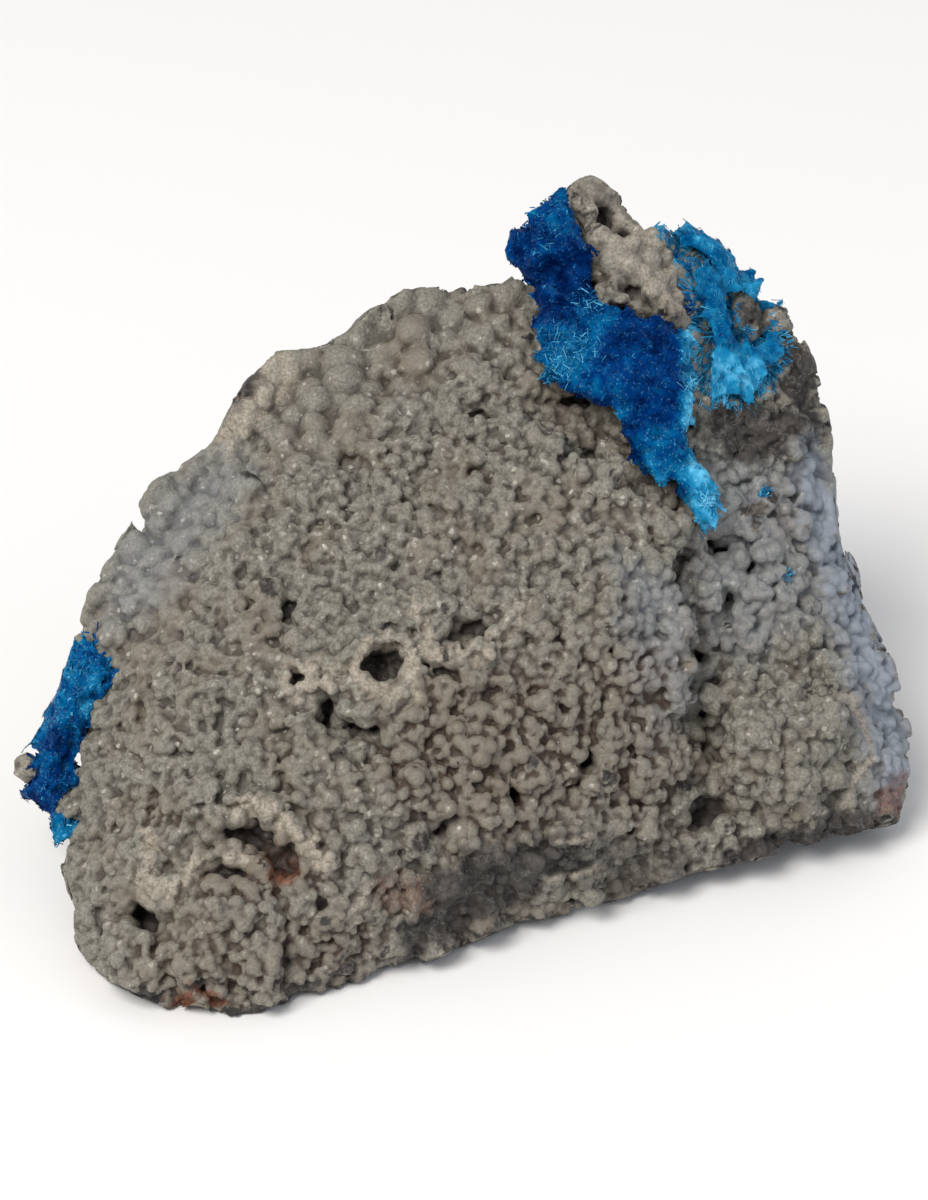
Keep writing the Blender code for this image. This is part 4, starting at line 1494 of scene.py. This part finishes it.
    def _knobs(self, surface: Shape, corners: np.ndarray, rng: np.random.Generator) -> np.ndarray:
        """How far the small round knobs, which stand side by side on the crust, raise each corner.

        Args:
            surface: the fused crust.
            corners: places on it.
            rng: the source of chance.

        Returns:
            The rise of each corner, below 0 in the crevices.
        """

        def room(places: np.ndarray, normals: np.ndarray) -> np.ndarray:
            """The room that a knob needs."""
            size = np.maximum(self.sizes_at(places)[:, 1], 0.42)
            return size * rng.uniform(*self.knob_spread, len(places)) * self.knob_closeness

        tries = self.knob_tries
        places, _, rooms = scatter(surface, room, tries, rng)
        radii = rooms / self.knob_closeness
        LOG.info("%d knobs", len(radii))
        finder = KDTree(len(places))
        for index, place in enumerate(places):
            finder.insert(place, index)
        finder.balance()
        near = np.array([[index for _, index, _ in finder.find_n(corner, 3)] for corner in corners])
        apart = np.linalg.norm(places[near] - corners[:, None, :], axis=2)
        domes = radii[near] * (1 - (apart / (radii[near] * 1.15)) ** 2)
        rise = np.clip(domes.max(axis=1), -0.15, None) - 0.22
        return rise * self.knob_relief * smooth_step(0.05, 0.5, self.sizes_at(corners)[:, 1])

    def _roughen(
        self,
        rock: bpy.types.Object,
        tree: BVHTree,
        pits: PitFrames,
        rng: np.random.Generator,
    ) -> None:
        """Give the crust its knobs and grain and the bare basalt its broken faces, and spare the pits."""
        corners = Shape.of_object(rock).corners
        normals = normals_of(rock)
        facing = np.array([tuple(tree.find_nearest(Vector(corner))[1]) for corner in corners])
        bare = self.stains(corners, facing)[Stain.BASALT.value]
        moves = soft_noise(corners, 0.6, 61) * 0.05
        chipped = bare > 0.02
        rough = corners[chipped]
        chips = facet_noise(rough, 3.2, 63) * 0.3 + facet_noise(rough, 1.3, 64) * 0.2
        moves[chipped] += (chips + soft_noise(rough, 0.7, 65) * 0.12) * bare[chipped]
        front = (unit(DISPLAY.eye - corners) * facing).sum(axis=1) > -0.3
        knobby = (bare < 0.9) | front
        share = 1 - bare[knobby] * np.where(front[knobby], 0.25, 1.0)
        moves[knobby] += self._knobs(Shape.of_object(rock), corners[knobby], rng) * share
        moves *= 1 - self._pit_share(corners, pits, 1.15) * 0.8
        move_corners(rock, corners + normals * moves[:, None])

    def _pit_frames(self, tree: BVHTree) -> PitFrames:
        """The middle and the three scaled directions of each pit, with room for the lumps on its walls."""
        frames = []
        for pit in PITS:
            place, _ = DISPLAY.on_surface(tree, pit.across, pit.down)
            turn = math.radians(pit.turn)
            right, lean = np.array([1.0, 0.0, 0.0]), DISPLAY.lean
            wide = right * math.cos(turn) + lean * math.sin(turn)
            high = lean * math.cos(turn) - right * math.sin(turn)
            sizes = [pit.wide + self.pit_growth, pit.high + self.pit_growth, pit.deep + self.pit_growth]
            axes = np.stack([wide, high, DISPLAY.to_eye], axis=1) * np.array(sizes)
            frames.append((np.array(place), axes))
        return frames

    def _sink_pits(self, rock: bpy.types.Object, pits: PitFrames) -> None:
        """Cut the holes out of the core."""
        turns = np.array([axes for _, axes in pits])
        middles = np.array([middle for middle, _ in pits])
        cutter = self._lump(9).copies(turns, middles).to_object("cutter")
        fuse(cutter, self.skin_voxel)
        corners = Shape.of_object(cutter).corners
        ragged = soft_noise(corners, 1.1, 71) * 0.28 + soft_noise(corners, 0.5, 72) * 0.14
        move_corners(cutter, corners + normals_of(cutter) * ragged[:, None])
        with_modifier(rock, "BOOLEAN", {"operation": "DIFFERENCE", "object": cutter, "solver": "MANIFOLD"})
        bpy.data.objects.remove(cutter)

    def _paint(self, rock: bpy.types.Object, tree: BVHTree, pits: PitFrames) -> None:
        """Keep the kinds of surface, the painted shade in the hollows and the pits' colour, which is partly
        painted shade, as numbers on the mesh.
        """
        corners = Shape.of_object(rock).corners
        found = [tree.find_nearest(Vector(corner)) for corner in corners]
        bases = np.array([tuple(hit[0]) for hit in found])
        facing = np.array([tuple(hit[1]) for hit in found])
        height = ((corners - bases) * facing).sum(axis=1)
        for name, share in self.stains(corners, facing).items():
            paint(rock, name, share)
        # Painted shade in the crevices: full in the small crevices between knobs, up to 0.8 in the wider dips
        # between lumps
        crevice = smooth_step(-0.05, 0.24, hollow_of(rock, 6))
        dip = smooth_step(0.1, 0.9, hollow_of(rock, 45))
        paint(rock, "hollow", np.maximum(crevice, dip * 0.8))
        # The pits' colour, stronger the further below the surface around: partly the dark rock inside, partly
        # painted shade in the hole
        below = 1 - smooth_step(-1.2, 0.2, height)
        paint(rock, "pit", self._pit_share(corners, pits, 1.15) * below * 0.85)


@dataclass
class CrustKnob:
    """The small ball of pale crust at the tip of the left band."""

    name: str = "crust_knob_ball"
    voxel: float = 0.2

    def build(self, frame: dict, look: bpy.types.Material) -> bpy.types.Object:
        """Roughen the knob's solid and dress it.

        Args:
            frame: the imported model.
            look: the crust's material.

        Returns:
            The finished knob.
        """
        knob = solid_of(frame, "crust_knob", self.name)
        fuse(knob, self.voxel)
        soften(knob, 3)
        corners = Shape.of_object(knob).corners
        swell = soft_noise(corners, 1.0, 81) * 0.14 + soft_noise(corners, 0.5, 82) * 0.08
        move_corners(knob, corners + normals_of(knob) * swell[:, None])
        corners = Shape.of_object(knob).corners
        for stain in Stain:
            paint(knob, stain.value, np.full(len(corners), 0.35 if stain is Stain.CREAM else 0.0))
        # No painted crevice shade on the knob
        paint(knob, "hollow", np.zeros(len(corners)))
        # The pits' colour in a small round spot where a dimple is seen; no dimple is cut in the mesh, so the
        # spot is painted shade
        dimple = np.linalg.norm(DISPLAY.seen_at(corners) - np.array([17.0, 765.0]), axis=1)
        paint(knob, "pit", (1 - smooth_step(2.0, 6.0, dimple)) * 0.7)
        finish_piece(knob, look, ["crust_knob"], True)
        return knob


# The blue crystals


# How pale the cavansite is: across, down, reach and tone from 0, navy, to 1, pale azure; the palest, along
# the crest's right-hand ridge, are a painted highlight
TONE_AND_HIGHLIGHT_ZONES = [
    (525, 250, 26, 0.20),
    (552, 208, 24, 0.38),
    (590, 230, 14, 0.28),
    (570, 280, 26, 0.06),
    (540, 300, 20, 0.14),
    (562, 350, 26, 0.42),
    (545, 385, 16, 0.36),
    (600, 320, 22, 0.34),
    (640, 350, 34, 0.16),
    (655, 395, 26, 0.10),
    (610, 400, 20, 0.30),
    # Painted highlight: the bright azure strip where the crest's right-hand ridge catches the light
    (691, 335, 9, 0.95),
    (692, 355, 9, 1.00),
    (692, 378, 9, 1.00),
    (692, 400, 9, 1.00),
    (693, 420, 9, 1.00),
    (695, 442, 9, 0.95),
    (672, 440, 18, 0.36),
    (672, 480, 14, 0.55),
    (700, 468, 11, 0.85),
    (715, 505, 16, 0.86),
    (680, 240, 26, 0.60),
    (720, 265, 24, 0.62),
    (770, 310, 18, 0.72),
    (735, 340, 24, 0.60),
    (745, 380, 30, 0.70),
    (706, 370, 10, 0.70),
    (75, 665, 30, 0.46),
    (50, 715, 22, 0.40),
    (45, 780, 24, 0.26),
    (68, 835, 16, 0.62),
]


def tone_and_highlight_at(places: np.ndarray) -> np.ndarray:
    """How pale the cavansite is at each place, from 0 to 1, with a painted highlight along the crest's
    right-hand ridge.
    """
    seen = DISPLAY.seen_at(places)
    total = np.full(len(places), 0.004)
    tone = total * 0.3
    for across, down, reach, value in TONE_AND_HIGHLIGHT_ZONES:
        near = nearness(seen, across, down, reach)
        total += near
        tone += near * value
    return tone / total


def blade_shape() -> Shape:
    """One blunt lath of length 1 along Z, half width 1 along X and half thickness 1 along Y."""
    bm = bmesh.new()
    for spot in [(1, 0, 0), (-1, 0, 0), (0, 1, 0), (0, -1, 0), (0.85, 0, 1), (-0.7, 0, 0.9)]:
        bm.verts.new(spot)
    bmesh.ops.convex_hull(bm, input=bm.verts)
    bmesh.ops.recalc_face_normals(bm, faces=bm.faces)
    return Shape.of_bmesh(bm)


def laid_blades(
    roots: np.ndarray, directions: np.ndarray, facing: np.ndarray, sizes: np.ndarray, rng: np.random.Generator
) -> Shape:
    """Blades at their roots, each turned about its length so that its flat side faces roughly outwards.

    Args:
        roots: where they start.
        directions: where they point.
        facing: which way is outwards at each.
        sizes: the length, width and thickness of each.
        rng: the source of chance.

    Returns:
        The blades, joined.
    """
    side = unit(np.cross(directions, facing + rng.normal(0, 0.4, roots.shape)))
    flat = np.cross(directions, side)
    axes = [side * sizes[:, 1:2] / 2, flat * sizes[:, 2:3] / 2, directions * sizes[:, :1]]
    return blade_shape().copies(np.stack(axes, axis=2), roots)


def lying_along(headings: np.ndarray, normals: np.ndarray, rise: np.ndarray) -> np.ndarray:
    """Directions along a surface near some headings, each raised from it by an angle."""
    flat = headings - (headings * normals).sum(axis=1)[:, None] * normals
    return unit(flat) * np.cos(rise)[:, None] + normals * np.sin(rise)[:, None]


@dataclass(frozen=True)
class Tuft:
    """A place where longer, paler blades lie loose: where it is seen, its reach and their number."""

    across: float
    down: float
    reach: float
    blades: int
    tone: float = 0.85


@dataclass
class CavansiteCluster:
    """One grown-together mass of cavansite: a core hidden under blades that lie on it like a fleece."""

    name: str
    node: str
    room: float = 0.7
    root_depth: float = 0.03
    length: tuple[float, float] = (0.3, 0.62)
    width: tuple[float, float] = (0.14, 0.34)
    thickness: float = 0.4
    rise: tuple[float, float] = (-0.03, 0.1)
    spread: float = 0.55
    core_depth: float = 0.02
    core_triangles: int = 50000
    widened: tuple[tuple[float, float, float], ...] = ()
    fan_from: tuple[float, float] | None = None
    sheet: Pixels | None = None
    sheet_roots: int = 0
    tufts: tuple[Tuft, ...] = ()
    most_triangles: int = 110000
    seed: int = 1

    def build(self, frame: dict, rock: Shape, look: bpy.types.Material) -> bpy.types.Object:
        """Grow the blades on the cluster's solid and dress it.

        Args:
            frame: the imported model.
            rock: the finished block, under which no blade starts.
            look: the cavansite's material.

        Returns:
            The finished cluster.
        """
        rng = np.random.default_rng(self.seed)
        tree = rock.tree()
        core_shape = self._core(frame)
        places, normals, _ = scatter(core_shape, lambda p, n: self._room(p, tree, rng), 30000, rng)
        ground = core_shape.tree()
        if self.sheet:
            more, facing = self._sheet_roots(rock, rng)
            places = np.concatenate([places, more + facing * self.core_depth])
            normals = np.concatenate([normals, facing])
            ground = Shape.joined([core_shape, rock]).tree()
        groups = [self._fleece(places, normals, len(core_shape.faces), ground, rng)]
        groups += [self._loose(core_shape, tuft, rng) for tuft in self.tufts]
        blades = Shape.joined([group[0] for group in groups])
        tones = np.concatenate([group[1] for group in groups])
        blade = blade_shape()
        whole = Shape.joined([core_shape, blades])
        whole.corners = held_inside(whole.corners, OUTLINE)
        piece = whole.to_object(self.name)
        along = np.tile(blade.corners[:, 2], len(tones))
        paint(piece, "along", np.concatenate([np.zeros(len(core_shape.corners)), along]))
        each = np.repeat(tones, len(blade.corners))
        deep = tone_and_highlight_at(core_shape.corners) + self._mottle(core_shape.corners)
        deep += facet_noise(core_shape.corners, 0.55, 92) * 0.06
        paint(piece, "tone", np.concatenate([np.clip(deep, 0.0, 1.0), each]))
        LOG.info("%s: %d roots, %d blades", self.name, len(places), len(tones))
        finish_piece(piece, look, [self.node], False)
        return piece

    def _core(self, frame: dict) -> Shape:
        """The form under the blades, a little smaller than the solid."""
        core = solid_of(frame, self.node, "core")
        if self.widened:
            shape = Shape.of_object(core)
            bpy.data.objects.remove(core)
            moved = [Shape(shape.corners + np.array(shift), shape.faces) for shift in self.widened]
            core = Shape.joined([shape, *moved]).to_object("core")
        fuse(core, 0.22)
        soften(core, 8)
        corners = Shape.of_object(core).corners
        swell = soft_noise(corners, 1.6, 91) * 0.2 + facet_noise(corners, 0.55, 92) * 0.07 - self.core_depth
        move_corners(core, corners + normals_of(core) * swell[:, None])
        thin_out(core, self.core_triangles)
        shape = Shape.of_object(core)
        bpy.data.objects.remove(core)
        return shape

    def _room(self, places: np.ndarray, rock: BVHTree, rng: np.random.Generator) -> np.ndarray:
        """The room that a bunch of blades needs, and none under the block's surface."""
        rooms = self.room * rng.uniform(0.8, 1.2, len(places))
        for index, place in enumerate(places):
            spot, normal, _, distance = rock.find_nearest(Vector(place))
            if (Vector(place) - spot).dot(normal) < 0 and distance > 0.5:
                rooms[index] = 0.0
        return rooms

    def _sheet_roots(self, rock: Shape, rng: np.random.Generator) -> tuple[np.ndarray, np.ndarray]:
        """Roots of blades that grow on the block itself, where the sheet is seen.

        Args:
            rock: the finished block.
            rng: the source of chance.

        Returns:
            The roots and the directions of the block there.
        """
        middle = rock.corners[rock.faces].mean(axis=1)
        a, b, c = (rock.corners[rock.faces[:, corner]] for corner in range(3))
        cross = np.cross(b - a, c - a)
        normals = unit(cross)
        facing = (unit(DISPLAY.eye - middle) * normals).sum(axis=1) > 0.05
        ragged = soft_noise(middle, 1.2, 93) * 5
        inside = depth_inside(DISPLAY.seen_at(middle), self.sheet) + ragged > 3
        weight = np.linalg.norm(cross, axis=1) * (facing & inside)
        picks = rng.choice(len(weight), size=self.sheet_roots, p=weight / weight.sum())
        apart = np.linalg.norm(middle[picks][:, None] - middle[picks][None], axis=2)
        return middle[picks], unit(np.exp(-((apart / 1.5) ** 2)) @ normals[picks])

    def _fleece(
        self,
        places: np.ndarray,
        normals: np.ndarray,
        core_faces: int,
        ground: BVHTree,
        rng: np.random.Generator,
    ) -> tuple[Shape, np.ndarray]:
        """The blades that cover the mass, in small bunches that share a heading.

        Args:
            places: where the bunches stand on the core.
            normals: the direction of the core there.
            core_faces: how many triangles the core has.
            ground: the surface that the blades' tips come down on.
            rng: the source of chance.

        Returns:
            The joined blades and the tone of each.
        """
        loose = sum(tuft.blades for tuft in self.tufts)
        room = self.most_triangles - core_faces - loose * 8
        each = max(3, room // (8 * max(len(places), 1)))
        each = each
        wander = np.stack([soft_noise(places, 2.2, 94 + axis) for axis in range(3)], axis=1)
        headings = self._away_from_middle(places, normals) + wander * 0.5 if self.fan_from else unit(wander)
        roots = np.repeat(places - normals * self.root_depth, each, axis=0)
        facing = np.repeat(normals, each, axis=0)
        aside = rng.normal(0, self.room * 0.45, roots.shape)
        roots = roots + aside - (aside * facing).sum(axis=1)[:, None] * facing
        headings = np.repeat(headings, each, axis=0) + rng.normal(0, self.spread, roots.shape)
        directions = lying_along(headings, facing, np.zeros(len(roots)))
        tips = roots + directions * rng.uniform(*self.length, len(roots))[:, None]
        hits = [ground.find_nearest(Vector(tip)) for tip in tips]
        over = np.array([tuple(hit[1]) for hit in hits]) * rng.uniform(*self.rise, len(roots))[:, None]
        spans = np.array([tuple(hit[0]) for hit in hits]) + over - roots
        directions = unit(spans)
        sizes = np.stack([np.linalg.norm(spans, axis=1), rng.uniform(*self.width, len(roots))], axis=1)
        sizes = np.concatenate([sizes, sizes[:, 1:] * self.thickness], axis=1)
        tones = tone_and_highlight_at(roots + directions * self.length[0] / 2)
        tones += np.repeat(rng.normal(0, 0.05, len(places)), each) + rng.normal(0, 0.06, len(roots))
        tones += self._mottle(roots)
        # Painted glints: a few blades at random are made paler, to stand for blades that catch the light
        tones += (rng.random(len(roots)) < 0.03) * 0.3
        return laid_blades(roots, directions, facing, sizes, rng), np.clip(tones, 0.0, 1.0)

    @staticmethod
    def _mottle(places: np.ndarray) -> np.ndarray:
        """How much paler the mass is in some patches than in others."""
        patches = soft_noise(places, 1.1, 97) * 0.2 + soft_noise(places, 3.0, 98) * 0.1
        return patches + soft_noise(places, 0.5, 99) * 0.1

    def _loose(self, core: Shape, tuft: Tuft, rng: np.random.Generator) -> tuple[Shape, np.ndarray]:
        """Longer, paler blades that lie every way on the mass.

        Args:
            core: the form under the blades.
            tuft: where they lie and how many there are.
            rng: the source of chance.

        Returns:
            The joined blades and the tone of each.
        """
        tree = core.tree()
        spots = rng.normal((tuft.across, tuft.down), tuft.reach / 2, (tuft.blades, 2))
        hits = [tree.ray_cast(*DISPLAY.sight(*spot)) for spot in spots]
        found = [hit for hit in hits if hit[0] is not None]
        normals = np.array([tuple(hit[1]) for hit in found])
        places = np.array([tuple(hit[0]) for hit in found])
        directions = lying_along(rng.normal(size=normals.shape), normals, rng.uniform(0.0, 0.3, len(normals)))
        sizes = rng.uniform((0.5, 0.05, 0.03), (1.15, 0.13, 0.07), (len(normals), 3))
        roots = places + normals * 0.12 - directions * sizes[:, :1] * 0.3
        tones = np.clip(rng.normal(tuft.tone, 0.2, len(normals)), 0.2, 1.0)
        return laid_blades(roots, directions, normals, sizes, rng), tones

    def _away_from_middle(self, roots: np.ndarray, outward: np.ndarray) -> np.ndarray:
        """The direction along the surface that leads away from the fan's middle."""
        aside = DISPLAY.seen_at(roots) - np.array(self.fan_from)
        away = aside[:, :1] * np.array([1.0, 0.0, 0.0]) - aside[:, 1:] * DISPLAY.lean
        away = away - (away * outward).sum(axis=1)[:, None] * outward
        return unit(away)


@dataclass
class CavansiteSpecks:
    """The few blue specks that grow on the grey flank by themselves."""

    name: str = "cavansite_specks"
    spots: tuple[tuple[float, float, int], ...] = ((762.0, 492.0, 46), (787.0, 575.0, 26))
    reach: float = 0.35
    tone: float = 0.7
    seed: int = 8

    def build(self, rock: BVHTree, look: bpy.types.Material) -> bpy.types.Object:
        """Grow the specks.

        Args:
            rock: what they grow on.
            look: the cavansite's material.

        Returns:
            The finished specks.
        """
        rng = np.random.default_rng(self.seed)
        roots, directions = [], []
        for across, down, blades in self.spots:
            place, normal = DISPLAY.on_surface(rock, across, down)
            roots.append(np.array(place) + rng.normal(0, self.reach, (blades, 3)))
            directions.append(unit(np.array(normal) + rng.normal(0, 0.7, (blades, 3))))
        roots, directions = np.concatenate(roots), np.concatenate(directions)
        sizes = rng.uniform((0.5, 0.12, 0.08), (0.95, 0.24, 0.14), (len(roots), 3))
        blade = blade_shape()
        facing = rng.normal(size=roots.shape)
        piece = laid_blades(roots, directions, facing, sizes, rng).to_object(self.name)
        paint(piece, "along", np.tile(blade.corners[:, 2], len(roots)))
        tones = np.clip(rng.normal(self.tone, 0.12, len(roots)), 0.0, 1.0)
        paint(piece, "tone", np.repeat(tones, len(blade.corners)))
        finish_piece(piece, look, [], False)
        return piece


@dataclass
class ClearCrystal:
    """The one clear crystal beside the tail."""

    name: str = "clear_crystal"
    seen: tuple[float, float] = (700.0, 492.0)
    radius: float = 0.42
    height: float = 1.5

    def build(self, rock: BVHTree, look: bpy.types.Material) -> bpy.types.Object:
        """Set a small six-sided crystal on the surface.

        Args:
            rock: what it stands on.
            look: its material.

        Returns:
            The finished crystal.
        """
        place, normal = DISPLAY.on_surface(rock, *self.seen)
        bm = bmesh.new()
        bmesh.ops.create_cone(
            bm, cap_ends=True, segments=6, radius1=self.radius, radius2=self.radius, depth=self.height
        )
        top = [face for face in bm.faces if face.normal.z > 0.9]
        bmesh.ops.inset_region(bm, faces=top, thickness=self.radius * 0.6, depth=self.radius * 0.5)
        turn = Vector((0, 0, 1)).rotation_difference(normal + Vector((0.3, -0.2, 0.4))).to_matrix().to_4x4()
        bmesh.ops.transform(bm, matrix=Matrix.Translation(place + normal * 0.5) @ turn, verts=bm.verts)
        bmesh.ops.recalc_face_normals(bm, faces=bm.faces)
        piece = Shape.of_bmesh(bm).to_object(self.name)
        finish_piece(piece, look, [], False)
        return piece


# The studio


@dataclass
class Studio:
    """The white floor, the soft light and the camera."""

    floor_half: float = 1500.0
    floor_level: float = -0.3
    world_strength: float = 0.5
    lens: float = 126.0
    sensor: float = 36.0

    def build(self) -> None:
        """Set up the floor, the lights, the camera and the way that colours are shown."""
        scene = bpy.context.scene
        scene.view_settings.view_transform = "Standard"
        self._floor()
        self._world(scene)
        self._lamp("key_softbox", (-620.0, -900.0, 1300.0), 800.0, 25.0, "#fffbf6")
        self._lamp("fill_softbox", (900.0, -420.0, 420.0), 700.0, 1.6, "#d8e5ff")
        self._camera(scene)

    def _floor(self) -> None:
        """The paper floor."""
        bm = bmesh.new()
        bmesh.ops.create_grid(bm, x_segments=8, y_segments=8, size=self.floor_half)
        bmesh.ops.translate(bm, vec=(0.0, 0.0, self.floor_level), verts=bm.verts)
        floor = Shape.of_bmesh(bm).to_object("floor")
        floor.data.materials.append(FloorFinish().build())

    def _world(self, scene: bpy.types.Scene) -> None:
        """Even white light from all around."""
        world = bpy.data.worlds.new("studio")
        world.use_nodes = True
        background = next(node for node in world.node_tree.nodes if node.type == "BACKGROUND")
        background.inputs["Color"].default_value = linear("#ffffff")
        background.inputs["Strength"].default_value = self.world_strength
        scene.world = world

    @staticmethod
    def _lamp(name: str, place: tuple[float, float, float], size: float, power: float, colour: str) -> None:
        """A square softbox that faces the specimen.

        Args:
            name: its name.
            place: where it stands.
            size: the length of its side.
            power: its power in watts.
            colour: its colour.
        """
        data = bpy.data.lights.new(name, "AREA")
        data.size = size * MM
        data.energy = power
        data.color = linear(colour)[:3]
        lamp = bpy.data.objects.new(name, data)
        lamp.location = Vector(place) * MM
        aim = Vector(DISPLAY.target) * MM - lamp.location
        lamp.rotation_euler = aim.to_track_quat("-Z", "Y").to_euler()
        bpy.context.scene.collection.objects.link(lamp)

    def _camera(self, scene: bpy.types.Scene) -> None:
        """The camera at the photograph's viewing angle."""
        data = bpy.data.cameras.new("camera")
        data.lens = self.lens
        data.sensor_width = self.sensor
        data.clip_start = 0.01
        camera = bpy.data.objects.new("camera", data)
        camera.location = Vector(DISPLAY.eye) * MM
        aim = Vector(DISPLAY.target) * MM - camera.location
        camera.rotation_euler = aim.to_track_quat("-Z", "Y").to_euler()
        scene.collection.objects.link(camera)
        scene.camera = camera


def main() -> None:
    """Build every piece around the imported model."""
    logging.basicConfig(level=logging.INFO, format="%(name)s %(message)s")
    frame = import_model()
    crust_look = CrustFinish().build()
    blade_look = CavansiteFinish().build()
    parts = CrustedMatrix().build(frame, crust_look)
    CrustKnob().build(frame, crust_look)
    block = Shape.joined([Shape.of_object(part) for part in parts])
    clusters = [
        CavansiteCluster(
            "cavansite_crest_blades",
            "cavansite_crest",
            tufts=(
                Tuft(565, 345, 30, 170, 0.55),
                Tuft(552, 372, 18, 60, 0.75),
                Tuft(590, 300, 16, 60, 0.6),
                Tuft(545, 232, 22, 36, 0.5),
                # Pale blades on the right-hand ridge, part of its painted highlight
                Tuft(694, 385, 10, 60, 0.85),
                Tuft(706, 500, 10, 50, 0.9),
            ),
            widened=((-0.6, -0.1, 0.5),),
            seed=1,
        ),
        CavansiteCluster(
            "cavansite_flank_blades",
            "cavansite_flank",
            length=(0.45, 1.0),
            width=(0.08, 0.18),
            thickness=0.5,
            rise=(-0.02, 0.08),
            spread=0.2,
            fan_from=(738.0, 326.0),
            sheet=FLANK_BLUE,
            sheet_roots=1700,
            most_triangles=120000,
            seed=2,
        ),
        CavansiteCluster(
            "cavansite_left_blades",
            "cavansite_left",
            widened=((1.4, 0.3, 0.0), (-0.9, -0.2, -0.4)),
            most_triangles=80000,
            seed=3,
        ),
    ]
    for cluster in clusters:
        cluster.build(frame, block, blade_look)
    CavansiteSpecks().build(block.tree(), blade_look)
    ClearCrystal().build(block.tree(), ClearCrystalFinish().build())
    Studio().build()


if __name__ == "__main__":
    main()
